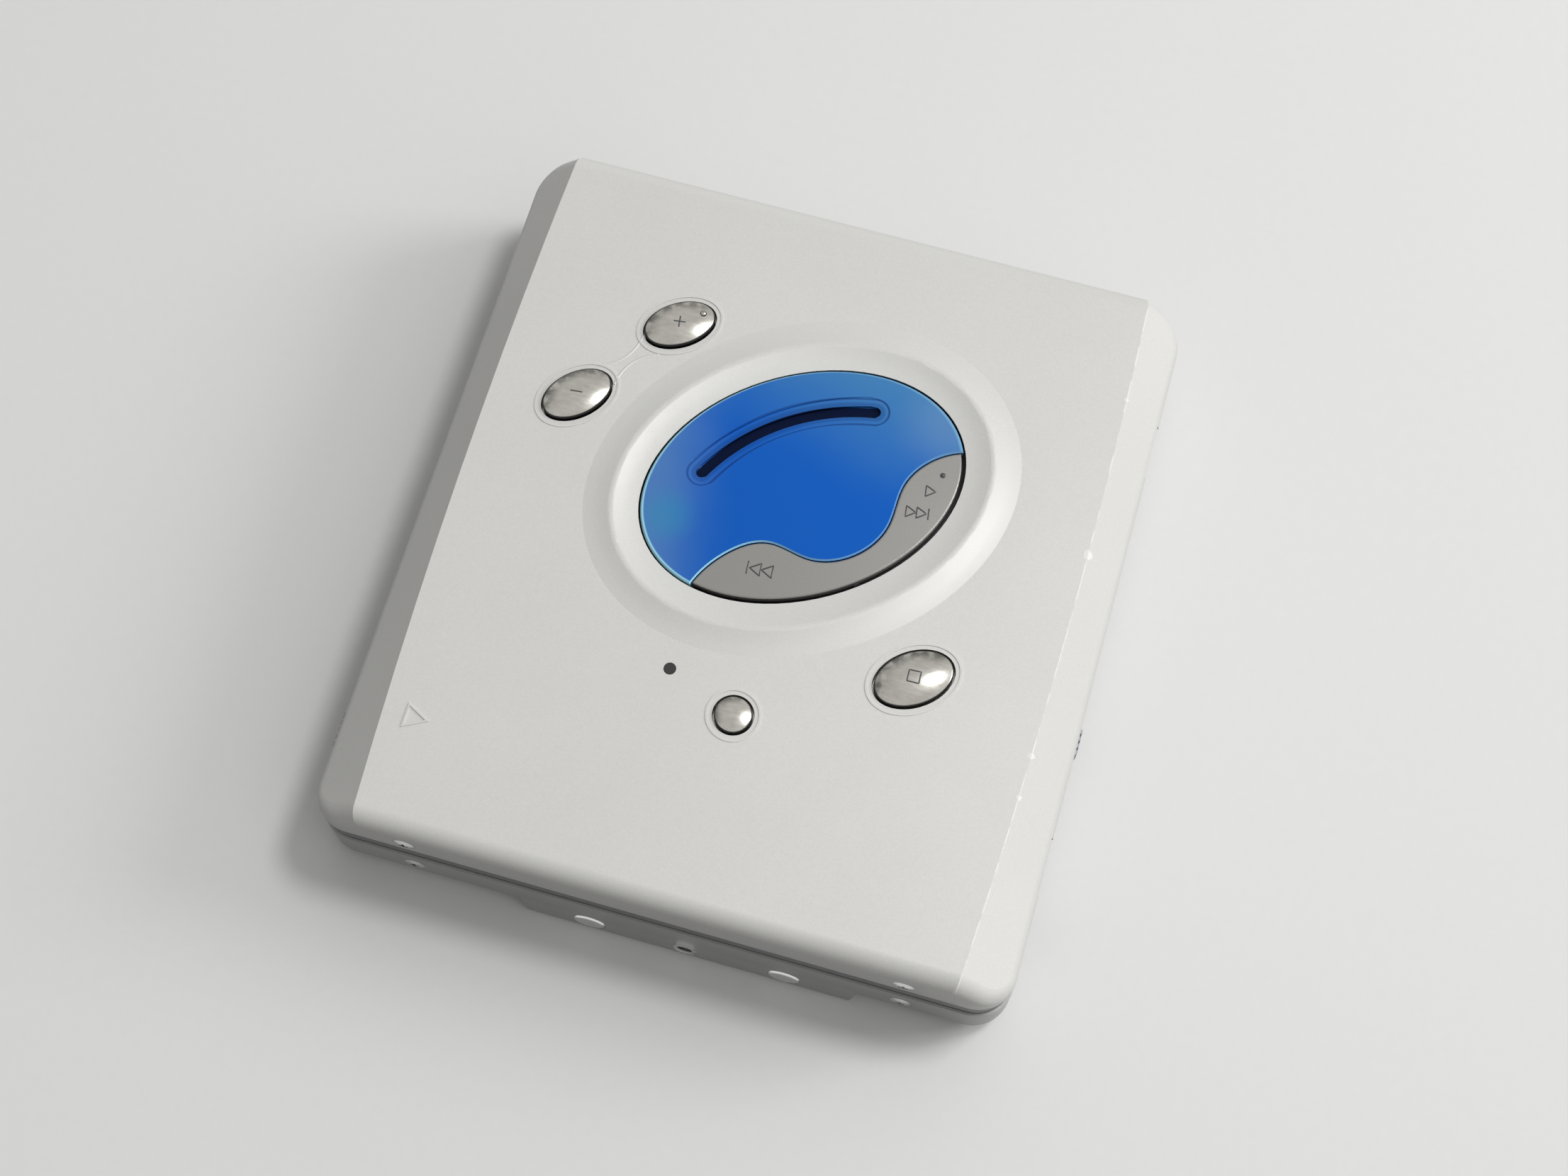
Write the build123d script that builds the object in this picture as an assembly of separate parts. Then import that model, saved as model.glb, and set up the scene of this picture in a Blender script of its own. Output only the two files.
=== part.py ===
from build123d import *
from collections import namedtuple
from math import atan2, cos, degrees, hypot, pi, radians, sin, tan
import os

# Portable minidisc player with a hinged lid, built outwards from the cartridge that it takes.
# X runs from the insertion side (-X) to the hinge side (+X), Y from the near face (-Y) to the
# far face (+Y) and Z up.  The origin lies on the flat base, under the spindle.
# Lengths are millimetres and angles are degrees.

# ---- Cartridge and battery, which set the size of the case ---------------------------------
CARTRIDGE_LENGTH = 68.0  # along X, the way it slides in
CARTRIDGE_WIDTH = 72.0  # along Y
CARTRIDGE_THICK = 5.0
CARTRIDGE_PLAY = 0.2
BATTERY_WIDTH = 17.0
BATTERY_THICK = 6.0
BATTERY_PLAY = 0.1
BATTERY_BUTTON_RADIUS = 1.8
BATTERY_BUTTON_RISE = 0.3
BATTERY_EDGE = 1.2
BATTERY_END_EDGE = 0.4

# ---- Making allowances ----------------------------------------------------------------------
OVERCUT = 1.0  # how far a cutter runs past what it cuts
FUSE = 0.3  # how far joined features of one moulding run into each other

# ---- Mouldings ------------------------------------------------------------------------------
ROOM_X = 3.2  # cartridge to the outside of the case, each end
ROOM_Y = 4.0  # cartridge to the outside of the case, each side
CORNER_RADIUS = 4.0
WALL = 1.0
FLOOR = 0.95
BASE_RADIUS = 3.0
COVER_LIP = 0.55  # rim of the bottom cover above the battery
FRAME_BAND = 3.05  # height of the frame that shows between cover and lid
BAND_INSET = 0.25  # the frame's band stands in from cover and lid
PANEL_GAP = 0.15  # gap between two mouldings
LID_SEAM = 0.2
FRAME_WALL = 1.05
TONGUE_DEPTH = 1.5  # frame's tongue inside the bottom cover
ROOF_GAP = 0.1  # bay to the frame's roof over the battery
ROOF_THICK = 0.5
SHELF_THICK = 0.4
SHELF_HALF = 2.2  # shelf to each side of its damper
POST_RADIUS = 1.2  # posts under the main board
POST_INSET_X = 7.2
POST_INSET_Y = 4.0  # from the board's near and far edges

# ---- Sheet metal and decks ------------------------------------------------------------------
DECK_THICK = 0.5
DECK_CORNER = 1.0
DECK_GAP = 0.3  # deck to the bay wall and to the near wall
DECK_SIDE_GAP = 1.5
DECK_SCREW_HEAD = 1.2
DECK_SCREW_CAP = 0.25
DAMPER_THICK = 0.35
DAMPER_RADIUS = 1.5
DAMPER_INSET = 1.5  # from the deck's sides
DAMPER_NEAR_INSET = 2.0
DAMPER_FAR_INSET = 2.9
HOLDER_SHEET = 0.3
HOLDER_STOP = 8.0  # half length of the end stop where it meets the top plate
HOLDER_LIFT = 0.4  # deck to the underside of the holder's lips
HOLDER_LIP = 2.5  # lips under the cartridge's long edges
HOLDER_MOUTH = 0.6  # holder's mouth in from the cartridge's end
HOLDER_STOP_GAP = 0.1
HOLDER_STOP_LIFT = 0.5
HOLDER_NOTCH = 1.4
WINDOW_LENGTH = 46.0  # two windows in the holder's top plate
WINDOW_SPANS = ((-28.0, -10.0), (7.0, 27.0))
WINDOW_RADIUS = 2.5
LINER_SHEET = 0.2
LINER_INSET = 5.2  # from the sides of the case
LINER_GAP = 0.1
LINER_TAB_WIDTH = 5.0
LINER_TAB_SHEET = 0.4
LINER_TAB_DROP = 1.2  # below the lid's screws
LINER_FOLD = 0.5
SWITCH_BOARD_THICK = 0.25
DOME_HEIGHT = 0.25
BUTTON_TRAVEL = 0.3
BUTTON_SLACK = 0.05  # between a button at its stop and its dome switch
FLANGE_THICK = 0.4
FLANGE_GAP = 0.1

# ---- Lid form -------------------------------------------------------------------------------
ROLL_RADIUS = 1.9  # near and far edges of the top and of the bevels
BEVEL_RISE = 4.7  # height of the long side bevels
BEVEL_WALL = 0.6  # the lid is thinner behind its bevels
BEVEL_NEAR = 5.7  # width of the bevels in plan at the near face
BEVEL_MIDDLE = 4.0
BEVEL_FAR = 4.6
BEVEL_MIDDLE_Y = 8.0
RING_WIDTH = 6.3  # raised ring around the dial, in plan
RING_RISE = 0.55
RING_CREST = 2.9  # from the dial's edge out to the ridge
RING_RIDGE = 0.3  # half width of the rounded ridge
RING_SLOPE = 0.28  # steepness of both flanks beside the ridge
RING_FOOT_SLOPE = 0.03
RING_SINK = 0.02  # the ring's foot ends just below the lid's top
RING_ROOT = 0.6  # the ring starts inside the dial's edge, which trims it
LIP_OFFSET = 0.45  # thin raised line around each button
LIP_WIDTH = 0.25
LIP_RISE = 0.08
ARROW_RISE = 0.12
ARROW_INSET_X = 8.2
ARROW_INSET_Y = 12.1
ARROW_BASE, ARROW_LEG = 2.7, 2.9
ARROW_LINE = 0.78  # inner triangle's share of the outer one

# ---- Dial: window and rocker key ------------------------------------------------------------
Oval = namedtuple("Oval", "x y tilt long short")  # centre, tilt of the long axis, semi-axes
DIAL = Oval(2.3, 7.85, 35.0, 17.85, 12.8)
DIAL_CROWN = 0.5  # how far the middle of the dial stands above its edge
DIAL_RIM = 0.05  # the dome's edge above the lid's top
DIAL_GAP = 0.22
KEY_OUTER_GAP = 0.48
KEY_INNER_GAP = 0.15
WINDOW_BEVEL = 0.15
KEY_EDGE = 0.2
KEY_LIFT = 0.4  # tray to the underside of the key
TRAY_THICK = 0.6
TRAY_MARGIN = 1.2
# Wavy inner edge of the key, from its right tip to its left tip, from the dial's centre.
KEY_WAVE = ((18.3, 8.45), (13.5, 7.15), (10.4, 2.75), (10.0, -2.25), (7.4, -6.45),
            (2.9, -8.15), (-1.5, -7.55), (-5.7, -10.05), (-8.6, -16.25))
KEY_PIVOT = (7.7, -8.25)  # neck of the key, from the dial's centre
KEY_PIVOT_ANGLE = -47.5
KEY_PIVOT_LENGTH = 2.2
KEY_PIVOT_RADIUS = 0.35
KEY_PLUNGERS = ((-1.8, -10.45), (13.2, 0.95))
PLUNGER_RADIUS = 0.9
PLUNGER_CLEARANCE = 0.25
KEY_BEYOND = 3.0
SLIT_START, SLIT_MIDDLE, SLIT_END = (-10.7, -1.65), (-5.7, 6.75), (5.2, 10.15)
SLIT_WIDTH = 1.15
SLIT_DEPTH = 0.45
SLIT_SINK = 0.25  # the dome's fall where the slit lies
SLIT_BORDER_WIDTH = 3.0
SLIT_BORDER_DEPTH = 0.06

# ---- Buttons: the ovals are the holes in the lid -------------------------------------------
VOL_UP = Oval(-15.68, 22.3, 35.0, 4.15, 2.72)
VOL_DOWN = Oval(-23.9, 11.3, 45.0, 4.15, 2.72)
STOP = Oval(19.2, -9.85, 36.4, 4.5, 3.05)
GROUP = Oval(2.45, -18.68, 0.0, 2.19, 2.19)
BUTTON_GAP = 0.2
BUTTON_FLANGE = 0.6  # flange beyond the hole
BUTTON_DOME_RADIUS = 6.5  # across an oval; the crown is flatter along it
BUTTON_PROUD = 0.95  # crown of a button above the lid
GROUP_PROUD = 0.6
BUTTON_EDGE = 0.3
DOME_RADIUS = 1.5
DOME_TOP_RADIUS = 0.9
PAD_RADIUS = 3.0  # switch board's lobe around each switch
STRIP_WIDTH = 4.0
BOARD_LOBE_INSET = 2.0
BUTTONS = (VOL_UP, VOL_DOWN, STOP, GROUP)
LED_X, LED_Y = -5.25, -15.65
LED_RADIUS = 0.62
LED_CLEARANCE = 0.04

# ---- Hinge ----------------------------------------------------------------------------------
HINGE_INSET = 1.3  # axis in from the side of the case
HINGE_PIN_RADIUS = 0.5
HINGE_RUNNING = 0.03
KNUCKLE_RADIUS = 1.15
KNUCKLE_INSET = 16.0  # middle of each frame knuckle from the near or far face
KNUCKLE_LENGTH = 6.0
LUG_LENGTH = 1.9
EAR_THICK = 0.3
EAR_RADIUS = 0.9
HINGE_GAP = 0.1  # between neighbours along the pin
LID_DROP = 0.4  # frame lowered under the lid's heel
LID_HEEL = 0.5  # chamfer under the lid's hinge side

# ---- Screws ---------------------------------------------------------------------------------
SCREW_INSET = 10.8  # from the sides of the case
SCREW_RADIUS = 0.6
SCREW_CLEARANCE = 0.05
SCREW_HEAD_RADIUS = 1.15
SCREW_HEAD_DEPTH = 0.55
SCREW_CROWN = 0.2  # domed head above its rim
SCREW_DRIVE_RADIUS = 0.5
SCREW_DRIVE_WIDTH = 0.3
SCREW_DRIVE_DEPTH = 0.4
LID_SCREW_REACH = 0.7  # beyond the lid's wall
COVER_SCREW_DROP = 2.7  # below the top edge of the bottom cover
LID_SCREW_LIFT = 1.9  # above the lower edge of the lid
SCREW_TAB_WIDTH = 5.0
SCREW_TAB_THICK = 1.2
SCREW_TAB_DROP = 3.8

# ---- Latch and sliders ----------------------------------------------------------------------
CATCH_INSET = 20.0  # from the near and far faces
CATCH_THICK = 0.6
CATCH_LENGTH = 1.6
CATCH_FOOT = 0.9
CATCH_FOOT_HEIGHT = 0.6
CATCH_DROP = 2.1  # foot of the catch below the lid's edge
CATCH_RISE = 1.5  # root of the catch inside the lid
CATCH_ROOM = 0.5  # around the catch in its pocket
CATCH_SKIN = 0.7  # wall left outside the pocket
LATCH_SHEET = 0.4
LATCH_HEIGHT = 1.7
LATCH_LIFT = 0.2  # above the holder's lips
LATCH_NEAR_END = 2.5  # plate beyond the open slider
LATCH_FAR_END = 7.0  # plate beyond the far catch
LATCH_TONGUE = 1.6
LATCH_TONGUE_REACH = 1.0
LATCH_TONGUE_THICK = 0.5
LATCH_GAP = 0.15
LATCH_TRAVEL = 2.5
OPEN_INSET = 10.5  # from the near face
OPEN_LENGTH = 4.0
OPEN_HEIGHT = 1.9
OPEN_PROUD = 0.75
SLIDER_POCKET = 0.4
SLIDER_PLAY = 0.15
SLIDER_STEM = 1.0
SLIDER_SEAT = 0.1  # the pad's back clear of its pocket
SLIDER_GROOVE = 0.18
SLIDER_GROOVE_WIDTH = 0.35
SLIDER_PITCH = 0.8
SLIDER_EDGE = 0.25
HOLD_INSET = 32.0  # from the near face
HOLD_Z = 4.7
HOLD_LENGTH = 3.0
HOLD_HEIGHT = 1.9
HOLD_PROUD = 0.4
HOLD_TRAVEL = 2.0
HOLD_SWITCH_DEEP = 2.6
HOLD_SWITCH_LONG = 6.4
HOLD_SWITCH_TALL = 4.0
HOLD_SWITCH_SLOT = 1.0
PART_GAP = 0.3  # parts on the board to the inside of the wall

# ---- Sockets and belly ----------------------------------------------------------------------
JACK_INSET = 12.0  # from the near face
JACK_BORE = 1.8
JACK_NOSE = 2.5
JACK_BODY_WIDTH = 6.0
JACK_LENGTH = 12.0
JACK_LIFT = 2.55  # bore axis above the main board
JACK_BODY_TOP = 2.4  # body above the bore axis
JACK_ROOM = 0.2
JACK_NOSE_SINK = 0.1
JACK_END_WALL = 1.0
BELLY_LEFT, BELLY_RIGHT = -16.4, 23.3
BELLY_SWEEP = 3.6  # length of the S-curve at each end
BELLY_EDGE = 0.8
BELLY_TOP = 4.2
BELLY_FLARE = 0.5  # foot of the belly in front of the near face
TERMINAL_X = (-7.3, 14.0)
TERMINAL_WIDTH = 3.6
TERMINAL_HEIGHT = 2.1
TERMINAL_EDGE = 0.35
TERMINAL_PROUD = 0.2
TERMINAL_THICK = 0.8
TERMINAL_TILT = 12.0  # the belly leans out by this much where they sit
TERMINAL_OUT = 0.25  # and stands this far in front of the near face
TERMINAL_TAIL = 1.0
TERMINAL_Z = 2.2
TERMINAL_DEPTH = 1.7
SOCKET_X = 3.2
SOCKET_RADIUS = 1.3
SOCKET_BORE = 0.8
SOCKET_DEPTH = 1.8
SOCKET_FLOOR = 0.3
SOCKET_PROUD = 0.35  # rim in front of the near face
SOCKET_SEAT = 0.05

# ---- Mechanism ------------------------------------------------------------------------------
BATTERY_FAR_ROOM = 2.4  # battery to the inside of the far wall
BATTERY_END_ROOM = 1.3  # battery to the inside of the door
CONTACT_ROOM = 4.1  # battery to the inside of the hinge wall
LEAF_SHEET = 0.25
LEAF_HALF = 4.0
LEAF_FOOT = 1.0
LEAF_HEIGHT = 2.4
LEAF_BACK_RISE = 0.8
LEAF_TOUCH = 0.05  # between a leaf's crown and the cell
BAY_WALL = 0.8
BOARD_LIFT = 0.65
BOARD_THICK = 0.7
BOARD_SIDE_GAP = 1.2
BOARD_CORNER = 2.5
# Chips: side of the board, inset from it, near (-1) or far (1) edge, inset, plan and height.
CHIPS = ((-1, 11.0, 1, 14.4, 10.0, 10.0, 1.0), (-1, 10.0, -1, 23.5, 8.0, 7.0, 0.9),
         (1, 13.0, 1, 12.4, 8.0, 8.0, 1.0), (1, 19.0, -1, 7.5, 6.0, 4.0, 0.8),
         (-1, 9.0, -1, 10.5, 6.0, 4.0, 0.8), (0, 0.0, 1, 4.9, 9.0, 4.0, 0.9))
SPINDLE_RADIUS = 0.75
SPINDLE_RUNNING = 0.03
MOTOR_RADIUS = 8.0
MOTOR_HEIGHT = 3.1
MOTOR_FLANGE = 0.6
MOTOR_EDGE = 0.5
MOTOR_LIP = 0.3
MOTOR_EAR_REACH = 2.6
MOTOR_EAR_RADIUS = 1.4
MOTOR_EAR_ARM = 2.4
MOTOR_EAR_ANGLES = (25, 90, 155)
MOTOR_SCREW_HEAD = 1.0
SPINDLE_END_GAP = 0.2
TURNTABLE_RADIUS = 8.0
TURNTABLE_GAP = 0.6
TURNTABLE_RISE = 1.7  # boss above the deck
TURNTABLE_LIFT = 0.2
TURNTABLE_RIM = 1.2
TURNTABLE_RIM_RISE = 0.9
TURNTABLE_FLOOR = 0.4
TURNTABLE_BOSS = 2.0
TURNTABLE_BOSS_RISE = 1.1
TURNTABLE_BOSS_TOP = 1.4
MAGNET_THICK = 0.5
MAGNET_OUTER = 5.6
MAGNET_INNER = 2.3
TRACK_MARGIN = 5.5  # outermost track to the cartridge's edge
LENS_INNER = 14.5  # lens to spindle at rest
SLED_FRONT = 5.0  # lens to the spindle end of the sled
SLED_BACK = 6.0
SLED_HALF_WIDTH = 9.0
SLED_HEIGHT = 4.6
SLED_KEEL = 1.6  # underside below the shafts
SLED_WING_THICK = 1.8
SLED_CORNER = 0.8
SLED_SLOT_GAP = 0.6
TAB_HALF_WIDTH = 1.3
TAB_EDGE = 0.3  # tab below its shaft
TAB_NEAR_THICK = 0.5
TAB_NEAR_GAP = 0.3
TAB_FAR_THICK = 0.6
TAB_FAR_GAP = 4.9
SHAFT_X = 11.0
SHAFT_RADIUS = 0.8
SHAFT_RUNNING = 0.04
SHAFT_DROP = 2.45  # axis below the deck
BUSH_RADIUS = 1.5
BUSH_OUTER = 1.3
TURRET_RADIUS = 2.5
TURRET_RISE = 0.75
TURRET_FLOOR = 1.0
LENS_RADIUS = 1.8
LENS_THICK = 1.6
LENS_RISE = 0.95
LENS_CURVE = 6.0
LENS_FIT = 0.02
RACK_X = 14.0  # pitch line of the rack
RACK_MODULE = 0.35
PINION_TEETH = 10
WHEEL_MODULE = 0.3
WHEEL_TEETH = 30
DRIVE_TEETH = 10
TOOTH_BACKLASH = 0.1
TOOTH_ROOT, TOOTH_TIP = 1.15, 0.85  # tooth below and above the pitch line, in modules
TOOTH_ROOT_WIDTH, TOOTH_TIP_WIDTH = 1.25, 0.55
TOOTH_LEAN = 20.0  # pressure angle
RACK_END = 1.6
RACK_THICK = 1.0
WHEEL_THICK = 0.6
WHEEL_GAP = 0.4  # large wheel to the deck
FEED_INSET = 18.5  # feed gear in from the deck's near edge
FEED_POST_RADIUS = 0.5
FEED_WASHER_RADIUS = 1.2
FEED_WASHER_THICK = 0.3
FEED_WASHER_GAP = 0.1
FEED_SHAFT_RADIUS = 0.4
FEED_SHAFT_REACH = 1.4
FEED_RUNNING = 0.03
FEED_MOTOR_RADIUS = 3.6
FEED_MOTOR_HEIGHT = 3.1
FEED_BAR_NEAR, FEED_BAR_FAR = 1.0, 3.6  # motor's mounting bar, from its axis
FEED_BAR_HALF = 5.0
FEED_BAR_THICK = 0.6
FEED_COLUMN_X, FEED_COLUMN_Y = 2.5, 4.2
FEED_COLUMN_RADIUS = 0.8
PIN_INSET_X = 5.0  # locating pins in from the cartridge's edges
PIN_INSET_Y = 6.0
PIN_RADIUS = 1.2
PIN_NIB_RADIUS = 0.8
PIN_NIB_RISE = 0.8
PIN_ROOT = 0.4
PIN_PRELOAD = 0.1  # the pins reach just above the holder's lips

# ---- Battery door ---------------------------------------------------------------------------
DOOR_PIN_RADIUS = 0.25
DOOR_BARREL_RADIUS = 0.5
DOOR_RUNNING = 0.03
DOOR_GAP = 0.1
DOOR_PIN_OFFSET = 0.4  # door's pin beyond the bay's near side
DOOR_PIN_CAP = 0.3
DOOR_LAP = 0.3
DOOR_GRIP_WIDTH = 1.0
DOOR_GRIP_INSET = 1.6
DOOR_GRIP_DEPTH = 0.3
DOOR_CONTACT_GAP = 0.35
BARREL_DROP = 0.6
HOOK_RISE = 0.7
KNUCKLE_WEB_INSET = 0.3
KNUCKLE_WEB_SKIN = 0.1
KNUCKLE_WEB_DROP = 0.6
LUG_BITE = 0.3  # the pin's depth into its outer lug

# ---- Worked-out sizes -----------------------------------------------------------------------
WIDTH = CARTRIDGE_LENGTH + 2 * ROOM_X
DEPTH = CARTRIDGE_WIDTH + 2 * ROOM_Y
SIDE, FACE = WIDTH / 2, DEPTH / 2
BAY_TOP = FLOOR + BATTERY_THICK + 2 * BATTERY_PLAY
COVER_TOP = BAY_TOP + COVER_LIP
FRAME_BOTTOM = COVER_TOP + PANEL_GAP
FRAME_TOP = FRAME_BOTTOM + FRAME_BAND
LID_BOTTOM = FRAME_TOP + LID_SEAM
TONGUE_INSET = WALL + PANEL_GAP
FRAME_INSIDE = TONGUE_INSET + FRAME_WALL
TONGUE_BOTTOM = FRAME_BOTTOM - TONGUE_DEPTH
ROOF_BOTTOM = BAY_TOP + ROOF_GAP
ROOF_TOP = ROOF_BOTTOM + ROOF_THICK
SHELF_TOP = ROOF_BOTTOM
DECK_BOTTOM = SHELF_TOP + DAMPER_THICK
DECK_TOP = DECK_BOTTOM + DECK_THICK
LIPS_BOTTOM = DECK_TOP + HOLDER_LIFT
SLOT_BOTTOM = LIPS_BOTTOM + HOLDER_SHEET
SLOT_TOP = SLOT_BOTTOM + CARTRIDGE_THICK + CARTRIDGE_PLAY
HOLDER_TOP = SLOT_TOP + HOLDER_SHEET
LINER_BOTTOM = HOLDER_TOP + PANEL_GAP
LINER_TOP = LINER_BOTTOM + LINER_SHEET
SWITCH_BOARD_TOP = LINER_TOP + SWITCH_BOARD_THICK
DOME_TOP = SWITCH_BOARD_TOP + DOME_HEIGHT
BUTTON_BOTTOM = DOME_TOP + BUTTON_TRAVEL + BUTTON_SLACK
CEILING = BUTTON_BOTTOM + FLANGE_THICK + FLANGE_GAP
HEIGHT = CEILING + WALL
TRAY_BOTTOM = CEILING - TRAY_THICK
BATTERY_FAR = FACE - WALL - BATTERY_FAR_ROOM
BATTERY_NEAR = BATTERY_FAR - BATTERY_WIDTH
BATTERY_LEFT = -SIDE + WALL + BATTERY_END_ROOM
BATTERY_RIGHT = SIDE - WALL - CONTACT_ROOM
CONTACT_Y = (BATTERY_NEAR + BATTERY_FAR) / 2
CONTACT_Z = FLOOR + BATTERY_PLAY + BATTERY_THICK / 2
BOARD_BOTTOM = FLOOR + BOARD_LIFT
BOARD_TOP = BOARD_BOTTOM + BOARD_THICK
BAY_WALL_NEAR = BATTERY_NEAR - BATTERY_PLAY - BAY_WALL
DECK_FAR = BAY_WALL_NEAR - DECK_GAP
DECK_SIDE = SIDE - FRAME_INSIDE - DECK_SIDE_GAP
DECK_NEAR = -(FACE - FRAME_INSIDE - DECK_GAP)
BOARD_SIDE = SIDE - WALL - BOARD_SIDE_GAP
FEED_Y = DECK_NEAR + FEED_INSET
DAMPER_X = DECK_SIDE - DAMPER_INSET
DAMPER_YS = (DECK_NEAR + DAMPER_NEAR_INSET, DECK_FAR - DAMPER_FAR_INSET)
SHAFT_Z = DECK_BOTTOM - SHAFT_DROP
SCREW_X = SIDE - SCREW_INSET
KNUCKLE_Y = FACE - KNUCKLE_INSET
CATCH_Y = (CATCH_INSET - FACE, FACE - CATCH_INSET)
OPEN_Y = OPEN_INSET - FACE
HOLD_Y = HOLD_INSET - FACE
JACK_Y = JACK_INSET - FACE
PIN_X = CARTRIDGE_LENGTH / 2 - PIN_INSET_X
PIN_Y = CARTRIDGE_WIDTH / 2 - PIN_INSET_Y
HINGE_X = SIDE - HINGE_INSET
HINGE_Z = LID_BOTTOM - LID_SEAM / 2
LUG_NEAR = KNUCKLE_Y - KNUCKLE_LENGTH / 2 - HINGE_GAP - LUG_LENGTH
LUG_FAR = KNUCKLE_Y + KNUCKLE_LENGTH / 2 + HINGE_GAP + LUG_LENGTH
EAR_NEAR = LUG_FAR + HINGE_GAP
LENS_Y = -LENS_INNER
SLED_TRAVEL = CARTRIDGE_WIDTH / 2 - TRACK_MARGIN - LENS_INNER
SLOT_END = LENS_Y - SLED_TRAVEL - SLED_BACK
RACK_TOP = SHAFT_Z + RACK_THICK
WHEEL_BOTTOM = DECK_BOTTOM - WHEEL_GAP - WHEEL_THICK
FEED_X = RACK_X + RACK_MODULE * PINION_TEETH / 2
GEAR_SPAN = WHEEL_MODULE * (WHEEL_TEETH + DRIVE_TEETH) / 2
JACK_Z = BOARD_TOP + JACK_LIFT
LATCH_X = -(SIDE - FRAME_INSIDE) + SLIDER_PLAY
LATCH_LOW = LIPS_BOTTOM + LATCH_LIFT
OPEN_Z = (FRAME_BOTTOM + FRAME_TOP) / 2
DOOR_PIN_X = -SIDE + DOOR_BARREL_RADIUS
DOOR_PIN_Y = BATTERY_NEAR - BATTERY_PLAY - DOOR_PIN_OFFSET
DOOR_FAR = BATTERY_FAR + BATTERY_PLAY + DOOR_LAP
DOOR_NEAR = DOOR_PIN_Y + DOOR_GAP
BARREL_LOW = BASE_RADIUS + DOOR_GAP
BARREL_HIGH = BAY_TOP - BARREL_DROP
HOOK_LOW = BASE_RADIUS - HOOK_RISE
DOOR_PIN_TOP = COVER_TOP - DOOR_PIN_CAP
PEDESTAL_GAP = 0.3


# ---- Plain forms ----------------------------------------------------------------------------
def block(x, y, z):
    """A box between (low, high) limits along each axis."""
    size = [high - low for low, high in (x, y, z)]
    middle = [(low + high) / 2 for low, high in (x, y, z)]
    return Pos(*middle) * Box(*size)


def pillar(x, y, low, high, radius):
    """An upright cylinder."""
    return Pos(x, y, (low + high) / 2) * Cylinder(radius, high - low)


def rod_x(y, z, low, high, radius):
    """A cylinder along X."""
    return Pos((low + high) / 2, y, z) * Rot(0, 90, 0) * Cylinder(radius, high - low)


def rod_y(x, z, low, high, radius):
    """A cylinder along Y."""
    return Pos(x, (low + high) / 2, z) * Rot(90, 0, 0) * Cylinder(radius, high - low)


def slab(inset, low, high):
    """The case's plan, drawn in by an inset, between two heights."""
    plan = RectangleRounded(WIDTH - 2 * inset, DEPTH - 2 * inset, CORNER_RADIUS - inset)
    return extrude(Pos(0, 0, low) * plan, high - low)


def oval_prism(oval, grow, low, high):
    """An upright prism on an oval that is grown or shrunk by a margin."""
    plan = Ellipse(oval.long + grow, oval.short + grow)
    return extrude(Pos(oval.x, oval.y, low) * Rot(0, 0, oval.tilt) * plan, high - low)


def dial_point(offset):
    """A point given from the dial's centre, in the case's plan."""
    return DIAL.x + offset[0], DIAL.y + offset[1]


# ---- Bottom cover ---------------------------------------------------------------------------
def cover_form(inset, low, high):
    """The tub's form with its rounded underside, drawn in by an inset."""
    body = slab(inset, low, high)
    return fillet(body.faces().sort_by(Axis.Z)[0].edges(), BASE_RADIUS - inset)


def belly():
    """The middle of the near face: it runs down to the base and flares out into a foot."""
    outline = [
        Line((BELLY_LEFT + BELLY_SWEEP, 0), (BELLY_RIGHT - BELLY_SWEEP, 0)),
        Spline((BELLY_RIGHT - BELLY_SWEEP, 0), (BELLY_RIGHT, BELLY_TOP), tangents=[(1, 0), (1, 0)]),
        Line((BELLY_RIGHT, BELLY_TOP), (BELLY_LEFT, BELLY_TOP)),
        Spline((BELLY_LEFT, BELLY_TOP), (BELLY_LEFT + BELLY_SWEEP, 0), tangents=[(1, 0), (1, 0)]),
    ]
    root, foot = FACE - BASE_RADIUS, FACE + BELLY_FLARE
    profile = [
        Line((root, 0), (foot - BELLY_EDGE, 0)),
        RadiusArc((foot - BELLY_EDGE, 0), (foot, BELLY_EDGE), -BELLY_EDGE),
        Spline((foot, BELLY_EDGE), (FACE, BELLY_TOP), tangents=[(0, 1), (0, 1)]),
        Line((FACE, BELLY_TOP), (root, BELLY_TOP)),
        Line((root, BELLY_TOP), (root, 0)),
    ]
    front = extrude(Plane.XZ.offset(root) * make_face(outline), foot + OVERCUT - root)
    side = Plane(origin=(BELLY_LEFT, 0, 0), x_dir=(0, -1, 0), z_dir=(-1, 0, 0))
    return front & extrude(side * make_face(profile), BELLY_LEFT - BELLY_RIGHT)


def countersink(x, z, wall_y, side):
    """The hole and cone for one countersunk screw through a near or far wall."""
    outward = Pos(x, side * wall_y, z) * Rot(-90 * side, 0, 0)
    depth = SCREW_HEAD_DEPTH
    rim = SCREW_HEAD_RADIUS + SCREW_CLEARANCE
    head = Cone(SCREW_RADIUS + SCREW_CLEARANCE, rim, depth)
    mouth = Pos(0, 0, OVERCUT / 2) * Cylinder(rim, OVERCUT)
    bore = Cylinder(SCREW_RADIUS + SCREW_CLEARANCE, 3 * WALL)
    return outward * (Pos(0, 0, -depth / 2) * head + mouth + bore)


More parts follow.
